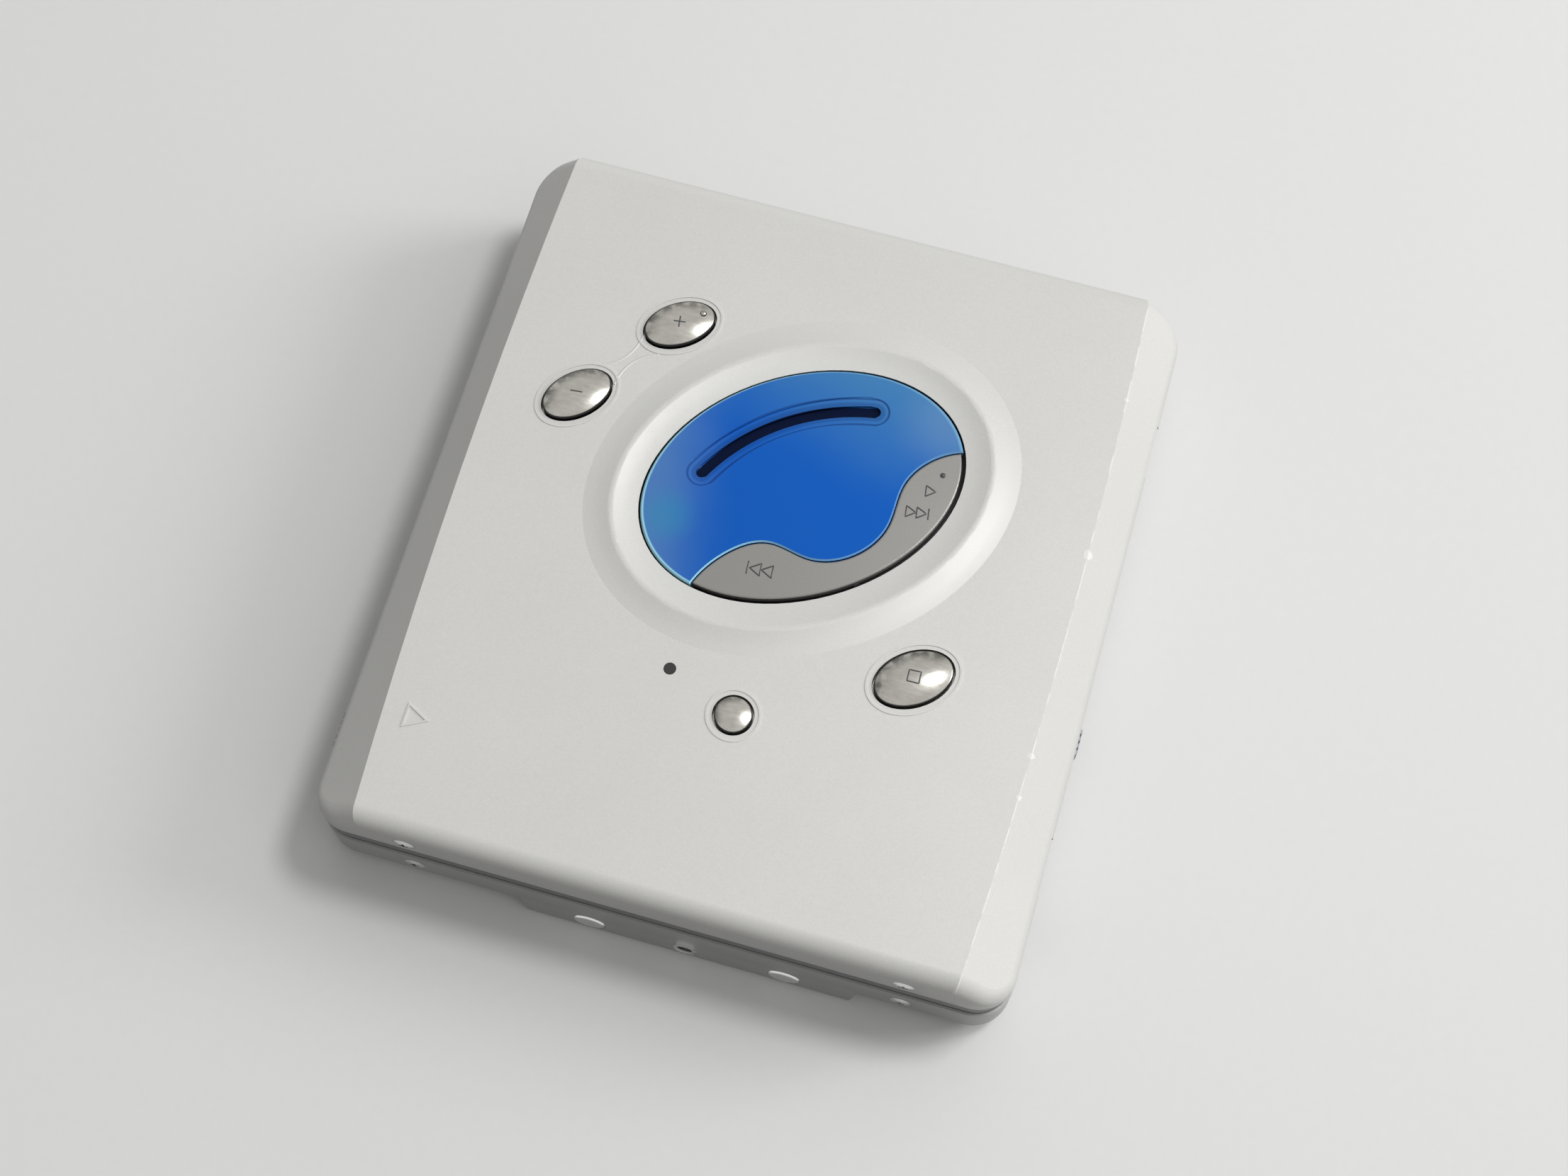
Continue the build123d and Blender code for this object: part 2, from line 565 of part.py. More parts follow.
def screw(x, z, wall_y, side, length):
    """One countersunk screw with a crowned head, its rim flush with a near or far wall."""
    outward = Pos(x, side * wall_y, z) * Rot(-90 * side, 0, 0)
    depth = SCREW_HEAD_DEPTH
    head = Pos(0, 0, -depth / 2) * Cone(SCREW_RADIUS, SCREW_HEAD_RADIUS, depth)
    curve = (SCREW_HEAD_RADIUS ** 2 + SCREW_CROWN ** 2) / (2 * SCREW_CROWN)
    crown = Pos(0, 0, SCREW_CROWN / 2) * Cylinder(SCREW_HEAD_RADIUS, SCREW_CROWN)
    crown = crown & (Pos(0, 0, SCREW_CROWN - curve) * Sphere(curve))
    shank = Pos(0, 0, -(depth + length) / 2) * Cylinder(SCREW_RADIUS, length - depth)
    slot = Pos(0, 0, SCREW_CROWN - SCREW_DRIVE_DEPTH / 2)
    cross = Box(2 * SCREW_DRIVE_RADIUS, SCREW_DRIVE_WIDTH, SCREW_DRIVE_DEPTH)
    return outward * (head + crown + shank - slot * cross - slot * Rot(0, 0, 90) * cross)


def screw_set(z, length):
    """Four screws, a pair in the near face and a pair in the far face."""
    return [screw(x, z, FACE, side, length) for side in (-1, 1) for x in (-SCREW_X, SCREW_X)]


def screw_holes(z):
    """Countersunk holes for one set of four screws."""
    spots = [(x, side) for side in (-1, 1) for x in (-SCREW_X, SCREW_X)]
    return [countersink(x, z, FACE, side) for x, side in spots]


def hold_opening():
    """The pocket and slot of the hold slider in the hinge side."""
    half, high = HOLD_LENGTH / 2 + SLIDER_PLAY, HOLD_HEIGHT / 2 + SLIDER_PLAY
    stem = SLIDER_STEM / 2 + SLIDER_PLAY
    pocket = block((SIDE - SLIDER_POCKET, SIDE + OVERCUT), (HOLD_Y - half, HOLD_Y + HOLD_TRAVEL + half),
                   (HOLD_Z - high, HOLD_Z + high))
    slot = block((SIDE - 2 * WALL, SIDE), (HOLD_Y - stem, HOLD_Y + HOLD_TRAVEL + stem),
                 (HOLD_Z - stem, HOLD_Z + stem))
    return pocket + slot


def terminal_prism(x, low, high):
    """An oval prism square to the leaning belly, between two depths from its surface."""
    lean = radians(TERMINAL_TILT)
    face = Plane(origin=(x, -FACE - TERMINAL_OUT, TERMINAL_Z), x_dir=(1, 0, 0),
                 z_dir=(0, -cos(lean), sin(lean)))
    plan = face.offset(low) * Ellipse(TERMINAL_WIDTH / 2, TERMINAL_HEIGHT / 2)
    return extrude(plan, high - low)


def terminal_tail(x, back):
    """The tail behind one contact stud, down to a depth behind the near face."""
    return block((x - TERMINAL_TAIL / 2, x + TERMINAL_TAIL / 2), (-FACE, -FACE + back),
                 (TERMINAL_Z - TERMINAL_TAIL / 2, TERMINAL_Z + TERMINAL_TAIL / 2))


def terminal(x):
    """One oval contact stud that stands out of the belly, its rim rounded, with its tail."""
    stud = terminal_prism(x, -TERMINAL_THICK, TERMINAL_PROUD)
    rim = stud.faces().sort_by(Axis.Y)[0].edges()
    return fillet(rim, TERMINAL_EDGE) + terminal_tail(x, TERMINAL_DEPTH)


def terminal_seat(x):
    """What one contact stud and its tail take out of the belly."""
    return terminal_prism(x, -TERMINAL_THICK, OVERCUT) + terminal_tail(x, 2 * WALL)


def door_space():
    """What the battery door and its barrel take out of the insertion side."""
    near = DOOR_PIN_Y - DOOR_BARREL_RADIUS - DOOR_GAP
    return block((-SIDE - OVERCUT, -SIDE + 2 * WALL), (near, DOOR_FAR), (FLOOR, BAY_TOP))


def door_knuckles():
    """The two fixed knuckles above and below the door's barrel."""
    low = pillar(DOOR_PIN_X, DOOR_PIN_Y, HOOK_LOW, BARREL_LOW - DOOR_GAP, DOOR_BARREL_RADIUS)
    high = pillar(DOOR_PIN_X, DOOR_PIN_Y, BARREL_HIGH + DOOR_GAP, BAY_TOP, DOOR_BARREL_RADIUS)
    reach = (DOOR_PIN_Y - 2 * DOOR_BARREL_RADIUS, DOOR_PIN_Y)
    webs = [block((DOOR_PIN_X - DOOR_BARREL_RADIUS, -SIDE + WALL), reach, span) for span in
            ((HOOK_LOW, BARREL_LOW - DOOR_GAP), (BARREL_HIGH + DOOR_GAP, BAY_TOP))]
    return low + high + webs


def board_posts():
    """Posts that carry the main board above the floor."""
    reach = SIDE - POST_INSET_X
    spots = [(x, y) for x in (-reach, 0, reach) for y in (DECK_NEAR + POST_INSET_Y, DECK_FAR - POST_INSET_Y)]
    return [pillar(x, y, FLOOR - FUSE, BOARD_BOTTOM, POST_RADIUS) for x, y in spots]


def bottom_cover():
    """Moulded tub: rounded base, belly, battery bay, board posts and openings."""
    cover = cover_form(0, 0, COVER_TOP) + belly()
    cover -= cover_form(WALL, FLOOR, COVER_TOP + OVERCUT)
    cover += block((BATTERY_LEFT, BATTERY_RIGHT), (BAY_WALL_NEAR, BAY_WALL_NEAR + BAY_WALL),
                   (FLOOR - FUSE, BAY_TOP - PANEL_GAP))
    cover += board_posts()
    cover -= door_space()
    cover += door_knuckles() & cover_form(0, 0, COVER_TOP)
    cover -= pillar(DOOR_PIN_X, DOOR_PIN_Y, HOOK_LOW, DOOR_PIN_TOP, DOOR_PIN_RADIUS)
    cover -= screw_holes(COVER_TOP - COVER_SCREW_DROP)
    cover -= rod_x(JACK_Y, JACK_Z, SIDE - 2 * WALL, SIDE + OVERCUT, JACK_NOSE + PANEL_GAP)
    cover -= hold_opening()
    cover -= [terminal_seat(x) for x in TERMINAL_X]
    cover -= rod_y(SOCKET_X, TERMINAL_Z, -FACE - OVERCUT, -FACE + SOCKET_DEPTH + SOCKET_SEAT, SOCKET_RADIUS)
    return cover


# ---- Mid frame ------------------------------------------------------------------------------
def hinge_notches():
    """Room in the frame for the lid's lugs and the holder's ear, on the far side."""
    low = HINGE_Z - KNUCKLE_RADIUS - PANEL_GAP
    span_x = (HINGE_X - KNUCKLE_RADIUS - OVERCUT, SIDE + OVERCUT)
    near = (LUG_NEAR - PANEL_GAP, KNUCKLE_Y - KNUCKLE_LENGTH / 2)
    far = (KNUCKLE_Y + KNUCKLE_LENGTH / 2, EAR_NEAR + EAR_THICK + PANEL_GAP)
    return [block(span_x, span, (low, FRAME_TOP + OVERCUT)) for span in (near, far)]


def frame_knuckle():
    """One hinge knuckle of the frame with its web, on the far side."""
    half = KNUCKLE_LENGTH / 2
    barrel = rod_y(HINGE_X, HINGE_Z, KNUCKLE_Y - half, KNUCKLE_Y + half, KNUCKLE_RADIUS)
    web = block((HINGE_X - KNUCKLE_RADIUS + KNUCKLE_WEB_INSET, HINGE_X + KNUCKLE_RADIUS - KNUCKLE_WEB_SKIN),
                (KNUCKLE_Y - half, KNUCKLE_Y + half), (HINGE_Z - KNUCKLE_RADIUS - KNUCKLE_WEB_DROP, HINGE_Z))
    return barrel + web


def damper_spots():
    """Plan positions of the four dampers under the deck."""
    return [(side * DAMPER_X, y) for side in (-1, 1) for y in DAMPER_YS]


def shelves():
    """Four shelves on the frame's side walls that carry the dampers."""
    reach = DAMPER_X - SHELF_HALF, SIDE - FRAME_INSIDE + FUSE
    pieces = []
    for y in DAMPER_YS:
        span = (max(y - SHELF_HALF, -FACE + FRAME_INSIDE - FUSE), y + SHELF_HALF)
        for low, high in (reach, (-reach[1], -reach[0])):
            pieces.append(block((low, high), span, (SHELF_TOP - SHELF_THICK, SHELF_TOP)))
    return pieces


def screw_tabs():
    """Tabs of the frame that reach down behind the near and far walls to take the screws."""
    inner = FACE - TONGUE_INSET
    near = [block((x - SCREW_TAB_WIDTH / 2, x + SCREW_TAB_WIDTH / 2), (-inner, -inner + SCREW_TAB_THICK),
                  (FRAME_BOTTOM - SCREW_TAB_DROP, FRAME_BOTTOM)) for x in (-SCREW_X, SCREW_X)]
    return near + [mirror(tab, Plane.XZ) for tab in near]


def catch_pockets():
    """Pockets in the inside of the insertion wall, where the lid's catches come down."""
    low = LID_BOTTOM - CATCH_DROP - CATCH_ROOM
    span_x = (-SIDE + BAND_INSET + CATCH_SKIN, -SIDE + FRAME_INSIDE + OVERCUT)
    start = CATCH_LENGTH / 2 + CATCH_ROOM
    end = CATCH_LENGTH / 2 + CATCH_FOOT + LATCH_TRAVEL + LATCH_TONGUE + CATCH_ROOM
    return [block(span_x, (y - start, y + end), (low, FRAME_TOP + OVERCUT)) for y in CATCH_Y]


def open_slot():
    """Pocket and slot of the open slider in the insertion wall."""
    half, high = OPEN_LENGTH / 2 + SLIDER_PLAY, OPEN_HEIGHT / 2 + SLIDER_PLAY
    stem = SLIDER_STEM / 2 + SLIDER_PLAY
    outside = -SIDE + BAND_INSET
    pocket = block((outside - OVERCUT, outside + SLIDER_POCKET),
                   (OPEN_Y - half, OPEN_Y + LATCH_TRAVEL + half), (OPEN_Z - high, OPEN_Z + high))
    slot = block((outside, -SIDE + FRAME_INSIDE + OVERCUT), (OPEN_Y - stem, OPEN_Y + LATCH_TRAVEL + stem),
                 (OPEN_Z - stem, OPEN_Z + stem))
    return pocket + slot


def frame_body():
    """The frame's solid form: visible band, tongue, battery roof, shelves and screw tabs."""
    frame = slab(BAND_INSET, FRAME_BOTTOM, FRAME_TOP)
    frame += slab(TONGUE_INSET, TONGUE_BOTTOM, FRAME_BOTTOM)
    frame -= slab(FRAME_INSIDE, TONGUE_BOTTOM - OVERCUT, FRAME_TOP + OVERCUT)
    roof_x = SIDE - FRAME_INSIDE + FUSE
    frame += block((-roof_x, roof_x), (BAY_WALL_NEAR, FACE - FRAME_INSIDE + FUSE), (ROOF_BOTTOM, ROOF_TOP))
    frame += shelves()
    frame += screw_tabs()
    return frame


def frame_rooms():
    """What the battery door, the headphone jack and the lid's heel take out of the frame."""
    door = block((-SIDE, BATTERY_LEFT + BATTERY_PLAY), (DOOR_PIN_Y - KNUCKLE_RADIUS, DOOR_FAR + PANEL_GAP),
                 (0, BAY_TOP))
    half = JACK_BODY_WIDTH / 2 + JACK_ROOM
    jack = block((SIDE - JACK_LENGTH / 2, SIDE), (JACK_Y - half, JACK_Y + half),
                 (0, JACK_Z + JACK_BODY_TOP + PANEL_GAP))
    heel = block((HINGE_X - FUSE, SIDE + OVERCUT), (-FACE, FACE), (FRAME_TOP - LID_DROP, FRAME_TOP + OVERCUT))
    return [door, jack, heel]


def mid_frame():
    """Moulded frame between cover and lid, with its knuckles, pockets and bores."""
    frame = frame_body() - frame_rooms()
    knuckle = frame_knuckle()
    notches = hinge_notches()
    for turn in (lambda piece: piece, lambda piece: mirror(piece, Plane.XZ)):
        frame -= [turn(notch) for notch in notches]
        frame += turn(knuckle)
    reach = EAR_NEAR + EAR_THICK
    frame -= rod_y(HINGE_X, HINGE_Z, -reach, reach, HINGE_PIN_RADIUS)
    frame -= catch_pockets()
    frame -= open_slot()
    bore = SCREW_RADIUS + SCREW_CLEARANCE
    z = COVER_TOP - COVER_SCREW_DROP
    frame -= [rod_y(x, z, -FACE, FACE, bore) for x in (-SCREW_X, SCREW_X)]
    frame -= [pillar(x, y, 0, SHELF_TOP + OVERCUT, SCREW_RADIUS) for x, y in damper_spots()]
    frame -= [pillar(x, PIN_Y, ROOF_BOTTOM, ROOF_TOP, PIN_NIB_RADIUS) for x in (-PIN_X, PIN_X)]
    return frame


# ---- Deck and what it carries ---------------------------------------------------------------
def deck_plate():
    """Pressed deck with the spindle hole, the sled's slot and tabs for the guide shafts."""
    plan = RectangleRounded(2 * DECK_SIDE, DECK_FAR - DECK_NEAR, DECK_CORNER)
    deck = extrude(Pos(0, (DECK_FAR + DECK_NEAR) / 2, DECK_BOTTOM) * plan, DECK_THICK)
    deck -= pillar(0, 0, 0, HEIGHT, TURNTABLE_RADIUS + TURNTABLE_GAP)
    half = SLED_HALF_WIDTH + SLED_SLOT_GAP
    deck -= block((-half, half), (SLOT_END, OVERCUT - MOTOR_RADIUS),
                  (DECK_BOTTOM - OVERCUT, DECK_TOP + OVERCUT))
    tab_z = (SHAFT_Z - SHAFT_RADIUS - TAB_EDGE, DECK_BOTTOM)
    deck += [block((x - TAB_HALF_WIDTH, x + TAB_HALF_WIDTH), span, tab_z)
             for x in (-SHAFT_X, SHAFT_X) for span in shaft_tab_spans()]
    deck -= [guide_shaft(x) for x in (-SHAFT_X, SHAFT_X)]
    deck -= [pillar(x, y, 0, HEIGHT, SCREW_RADIUS) for x, y in damper_spots() + motor_screw_spots()]
    deck -= [pillar(x, -PIN_Y, 0, HEIGHT, PIN_NIB_RADIUS) for x in (-PIN_X, PIN_X)]
    deck -= pillar(FEED_X, FEED_Y, 0, HEIGHT, FEED_POST_RADIUS)
    return deck


def shaft_tab_spans():
    """The Y spans of the deck's tabs at the near and far end of the shafts."""
    near_end = SLOT_END - TAB_NEAR_GAP
    far_end = LENS_Y + SLED_FRONT + TAB_FAR_GAP
    return [(near_end - TAB_NEAR_THICK, near_end), (far_end, far_end + TAB_FAR_THICK)]


def guide_shaft(x):
    """One ground shaft that the sled runs on."""
    near, far = shaft_tab_spans()
    return rod_y(x, SHAFT_Z, near[0], far[1], SHAFT_RADIUS)


def motor_screw_spots():
    """Plan positions of the spindle motor's three screws."""
    reach = MOTOR_RADIUS + MOTOR_EAR_REACH
    return [(reach * cos(radians(a)), reach * sin(radians(a))) for a in MOTOR_EAR_ANGLES]


def dampers():
    """Rubber washers between the frame's shelves and the deck."""
    return [pillar(x, y, SHELF_TOP, DECK_BOTTOM, DAMPER_RADIUS) - pillar(x, y, 0, HEIGHT, SCREW_RADIUS)
            for x, y in damper_spots()]


def deck_screw(x, y, low, head_radius):
    """One flat-headed screw down through the deck."""
    return (pillar(x, y, low, DECK_TOP, SCREW_RADIUS)
            + pillar(x, y, DECK_TOP, DECK_TOP + DECK_SCREW_CAP, head_radius))


def deck_screws():
    """Screws through the deck: four at the dampers and three that hold the motor."""
    corner = [deck_screw(x, y, SHELF_TOP - SHELF_THICK, DECK_SCREW_HEAD) for x, y in damper_spots()]
    motor = [deck_screw(x, y, DECK_BOTTOM - MOTOR_FLANGE, MOTOR_SCREW_HEAD) for x, y in motor_screw_spots()]
    return corner + motor


def spindle_motor():
    """Flat motor can under the deck, on a flange with three ears."""
    top = DECK_BOTTOM - MOTOR_FLANGE
    motor = pillar(0, 0, top - MOTOR_HEIGHT, top, MOTOR_RADIUS)
    motor = fillet(motor.edges().sort_by(Axis.Z)[0], MOTOR_EDGE)
    motor += pillar(0, 0, top, DECK_BOTTOM, MOTOR_RADIUS + MOTOR_LIP)
    for angle in MOTOR_EAR_ANGLES:
        reach = MOTOR_RADIUS + MOTOR_EAR_REACH
        arm = Pos(0, 0, (top + DECK_BOTTOM) / 2) * Rot(0, 0, angle) * Pos(reach / 2, 0, 0)
        motor += arm * Box(reach, MOTOR_EAR_ARM, MOTOR_FLANGE)
    motor += [pillar(x, y, top, DECK_BOTTOM, MOTOR_EAR_RADIUS) for x, y in motor_screw_spots()]
    motor -= [pillar(x, y, 0, HEIGHT, SCREW_RADIUS) for x, y in motor_screw_spots()]
    motor -= pillar(0, 0, top - MOTOR_HEIGHT + MOTOR_EDGE, HEIGHT, SPINDLE_RADIUS + SPINDLE_RUNNING)
    return motor


def turntable():
    """Hub that lifts and turns the disc, with the spindle shaft below it."""
    low = DECK_TOP + TURNTABLE_LIFT
    rim, inner = low + TURNTABLE_RIM_RISE, TURNTABLE_RADIUS - TURNTABLE_RIM
    floor, top = low + TURNTABLE_FLOOR, DECK_TOP + TURNTABLE_RISE
    profile = [(0, low), (TURNTABLE_RADIUS, low), (TURNTABLE_RADIUS, rim), (inner, rim), (inner, floor),
               (TURNTABLE_BOSS, floor), (TURNTABLE_BOSS, low + TURNTABLE_BOSS_RISE),
               (TURNTABLE_BOSS_TOP, top), (0, top)]
    hub = revolve(Plane.XZ * make_face(Polyline(*profile, close=True)), Axis.Z)
    foot = DECK_BOTTOM - MOTOR_FLANGE - MOTOR_HEIGHT + MOTOR_EDGE + SPINDLE_END_GAP
    return hub + pillar(0, 0, foot, low, SPINDLE_RADIUS)


def chuck_magnet():
    """Ring magnet that holds the disc's steel hub."""
    low = DECK_TOP + TURNTABLE_LIFT + TURNTABLE_FLOOR
    high = low + MAGNET_THICK
    return pillar(0, 0, low, high, MAGNET_OUTER) - pillar(0, 0, low, high, MAGNET_INNER)


def locating_pins():
    """Four pins that the cartridge rests on; their nibs enter its reference holes."""
    shoulder = SLOT_BOTTOM + PIN_PRELOAD
    pins = []
    for y, seat in ((-PIN_Y, DECK_TOP), (PIN_Y, ROOF_TOP)):
        for x in (-PIN_X, PIN_X):
            pins.append(pillar(x, y, seat - PIN_ROOT, seat, PIN_NIB_RADIUS)
                        + pillar(x, y, seat, shoulder, PIN_RADIUS)
                        + pillar(x, y, shoulder, shoulder + PIN_NIB_RISE, PIN_NIB_RADIUS))
    return pins


# ---- Sled and its drive ---------------------------------------------------------------------
def sled():
    """Optical base: deep middle, lower wings with bushes on the two shafts."""
    span = (LENS_Y - SLED_BACK, LENS_Y + SLED_FRONT)
    low = SHAFT_Z - SLED_KEEL
    body = block((-SLED_HALF_WIDTH, SLED_HALF_WIDTH), span, (low, low + SLED_HEIGHT))
    body = chamfer(body.edges().filter_by(Axis.Z), SLED_CORNER)
    wings, half = SHAFT_X + BUSH_RADIUS, SLED_WING_THICK / 2
    body += block((-wings, wings), span, (SHAFT_Z - half, SHAFT_Z + half))
    body += [rod_y(x, SHAFT_Z, span[0], span[1], BUSH_OUTER) for x in (-SHAFT_X, SHAFT_X)]
    body += pillar(0, LENS_Y, low + SLED_HEIGHT, DECK_TOP + TURRET_RISE, TURRET_RADIUS)
    body -= [rod_y(x, SHAFT_Z, span[0] - OVERCUT, span[1] + OVERCUT, SHAFT_RADIUS + SHAFT_RUNNING)
             for x in (-SHAFT_X, SHAFT_X)]
    body -= pillar(0, LENS_Y, low + TURRET_FLOOR, HEIGHT, LENS_RADIUS)
    return body


def objective_lens():
    """Small domed lens in the sled's turret."""
    top = DECK_TOP + LENS_RISE
    barrel = pillar(0, LENS_Y, top - LENS_THICK, top, LENS_RADIUS - LENS_FIT)
    return barrel & (Pos(0, LENS_Y, top - LENS_CURVE) * Sphere(LENS_CURVE))


def trapezoid_teeth(module, teeth, radius):
    """Corner points of a gear with straight-sided teeth, the first tooth centred on +X."""
    half_pitch = (pi * module / 2 - TOOTH_BACKLASH) / 2
    root, tip = radius - TOOTH_ROOT * module, radius + TOOTH_TIP * module
    wide, slim = half_pitch * TOOTH_ROOT_WIDTH / radius, half_pitch * TOOTH_TIP_WIDTH / radius
    points = []
    for tooth in range(teeth):
        middle = 2 * pi * tooth / teeth
        for reach, spread in ((root, -wide), (tip, -slim), (tip, slim), (root, wide)):
            points.append((reach * cos(middle + spread), reach * sin(middle + spread)))
    return points


def gear_blank(module, teeth, x, y, low, high, turn):
    """A spur gear between two heights, turned about its axis to set its phase."""
    outline = Polyline(*trapezoid_teeth(module, teeth, module * teeth / 2), close=True)
    return extrude(Pos(x, y, low) * Rot(0, 0, turn) * make_face(outline), high - low)


def sled_rack():
    """Toothed rack on the sled's wing; at every position a gap faces the feed gear's tooth."""
    pitch = pi * RACK_MODULE
    start, end = FEED_Y - RACK_END, FEED_Y + SLED_TRAVEL + RACK_END
    root, tip = RACK_X - TOOTH_ROOT * RACK_MODULE, RACK_X + TOOTH_TIP * RACK_MODULE
    rack = block((SHAFT_X + BUSH_RADIUS, root), (start, end), (SHAFT_Z, RACK_TOP))
    half, lean = (pitch / 2 - TOOTH_BACKLASH) / 2, tan(radians(TOOTH_LEAN))
    wide, slim = half + TOOTH_ROOT * RACK_MODULE * lean, half - TOOTH_TIP * RACK_MODULE * lean
    first, last = -int((FEED_Y - start) / pitch), int((end - FEED_Y) / pitch)
    for tooth in range(first, last):
        y = FEED_Y + (tooth + 0.5) * pitch
        outline = Polyline((root, y - wide), (tip, y - slim), (tip, y + slim), (root, y + wide), close=True)
        rack += extrude(Pos(0, 0, SHAFT_Z) * make_face(outline), RACK_THICK)
    return rack


def feed_gear():
    """Compound gear: a pinion on the rack under the large wheel."""
    gear = gear_blank(RACK_MODULE, PINION_TEETH, FEED_X, FEED_Y, SHAFT_Z, WHEEL_BOTTOM, 0)
    gear += gear_blank(WHEEL_MODULE, WHEEL_TEETH, FEED_X, FEED_Y, WHEEL_BOTTOM, WHEEL_BOTTOM + WHEEL_THICK, 0)
    return gear - pillar(FEED_X, FEED_Y, 0, HEIGHT, FEED_POST_RADIUS + FEED_RUNNING)


def feed_post():
    """Post riveted in the deck that the feed gear turns on, with its retaining washer."""
    low = SHAFT_Z - FEED_WASHER_GAP
    washer = pillar(FEED_X, FEED_Y, low - FEED_WASHER_THICK, low, FEED_WASHER_RADIUS)
    return washer + pillar(FEED_X, FEED_Y, low, DECK_TOP, FEED_POST_RADIUS)


def drive_pinion():
    """Pinion on the feed motor's shaft, in mesh with the large wheel."""
    x = FEED_X + GEAR_SPAN
    teeth = gear_blank(WHEEL_MODULE, DRIVE_TEETH, x, FEED_Y, WHEEL_BOTTOM, WHEEL_BOTTOM + WHEEL_THICK,
                       180 / DRIVE_TEETH)
    return teeth + pillar(x, FEED_Y, WHEEL_BOTTOM - FEED_SHAFT_REACH, WHEEL_BOTTOM, FEED_SHAFT_RADIUS)


def feed_motor():
    """Small upright motor, hung from the deck by two columns."""
    x, top = FEED_X + GEAR_SPAN, WHEEL_BOTTOM - PEDESTAL_GAP
    motor = pillar(x, FEED_Y, top - FEED_MOTOR_HEIGHT, top, FEED_MOTOR_RADIUS)
    motor += block((x + FEED_BAR_NEAR, x + FEED_BAR_FAR), (FEED_Y - FEED_BAR_HALF, FEED_Y + FEED_BAR_HALF),
                   (top - FEED_BAR_THICK, top))
    motor += [pillar(x + FEED_COLUMN_X, FEED_Y + y, top, DECK_BOTTOM, FEED_COLUMN_RADIUS)
              for y in (-FEED_COLUMN_Y, FEED_COLUMN_Y)]
    return motor - pillar(x, FEED_Y, top - FEED_SHAFT_REACH, top, FEED_SHAFT_RADIUS + FEED_RUNNING)


# ---- Electronics, battery and sockets -------------------------------------------------------
def main_board():
    """Circuit board on the cover's posts, near side of the battery bay."""
    plan = RectangleRounded(2 * BOARD_SIDE, DECK_FAR - DECK_NEAR, BOARD_CORNER)
    return extrude(Pos(0, (DECK_FAR + DECK_NEAR) / 2, BOARD_BOTTOM) * plan, BOARD_THICK)


def board_chips():
    """Integrated circuits on the board, clear of motor and sled."""
    chips = []
    for side, inset_x, edge, inset_y, long, deep, tall in CHIPS:
        x = side * (BOARD_SIDE - inset_x)
        y = DECK_FAR - inset_y if edge > 0 else DECK_NEAR + inset_y
        chips.append(block((x - long / 2, x + long / 2), (y - deep / 2, y + deep / 2),
                           (BOARD_TOP, BOARD_TOP + tall)))
    return chips


def battery():
    """Flat rechargeable cell in its bay."""
    low = FLOOR + BATTERY_PLAY
    cell = block((BATTERY_LEFT, BATTERY_RIGHT), (BATTERY_NEAR, BATTERY_FAR), (low, low + BATTERY_THICK))
    cell = fillet(cell.edges().filter_by(Axis.X), BATTERY_EDGE)
    ends = cell.faces().filter_by(Axis.X)
    cell = fillet(ends.edges(), BATTERY_END_EDGE)
    return cell + rod_x(CONTACT_Y, CONTACT_Z, BATTERY_LEFT - BATTERY_BUTTON_RISE, BATTERY_LEFT,
                        BATTERY_BUTTON_RADIUS)


def bowed_leaf(back, crown):
    """Contact leaf: a flat back plate with a bowed spring that reaches along X to its crown."""
    side = 1 if crown > back else -1
    y, half, sheet = CONTACT_Y, LEAF_HALF, side * LEAF_SHEET
    outline = [
        ThreePointArc((back, y - half), (crown, y), (back, y + half)),
        Line((back, y + half), (back, y + half - LEAF_FOOT)),
        ThreePointArc((back, y + half - LEAF_FOOT), (crown - sheet, y), (back, y - half + LEAF_FOOT)),
        Line((back, y - half + LEAF_FOOT), (back, y - half)),
    ]
    low, high = CONTACT_Z - LEAF_HEIGHT / 2, CONTACT_Z + LEAF_HEIGHT / 2
    leaf = extrude(Pos(0, 0, low) * make_face(outline), high - low)
    plate_x = tuple(sorted((back, back - sheet)))
    return leaf + block(plate_x, (y - half - LEAF_FOOT, y + half + LEAF_FOOT), (low, high + LEAF_BACK_RISE))


def battery_contact():
    """Sprung contact at the hinge end of the bay, on a post of the board."""
    return bowed_leaf(SIDE - WALL - PART_GAP, BATTERY_RIGHT + LEAF_TOUCH)


def headphone_jack():
    """Jack on the board with its nose through the hinge side."""
    end = SIDE - WALL - JACK_ROOM
    half = JACK_BODY_WIDTH / 2
    body = block((end - JACK_LENGTH, end), (JACK_Y - half, JACK_Y + half),
                 (BOARD_TOP, JACK_Z + JACK_BODY_TOP))
    body += rod_x(JACK_Y, JACK_Z, end, SIDE - JACK_NOSE_SINK, JACK_NOSE)
    return body - rod_x(JACK_Y, JACK_Z, end - JACK_LENGTH + JACK_END_WALL, SIDE, JACK_BORE)


def hold_switch():
    """Slide switch on the board behind the hold slider."""
    end = SIDE - WALL - PART_GAP
    y, half = HOLD_Y + HOLD_TRAVEL / 2, HOLD_SWITCH_LONG / 2
    body = block((end - HOLD_SWITCH_DEEP, end), (y - half, y + half),
                 (BOARD_TOP, BOARD_TOP + HOLD_SWITCH_TALL))
    stem = SLIDER_STEM / 2 + SLIDER_PLAY
    return body - block((end - HOLD_SWITCH_SLOT, end + OVERCUT), (HOLD_Y - stem, HOLD_Y + HOLD_TRAVEL + stem),
                        (HOLD_Z - stem, HOLD_Z + stem))


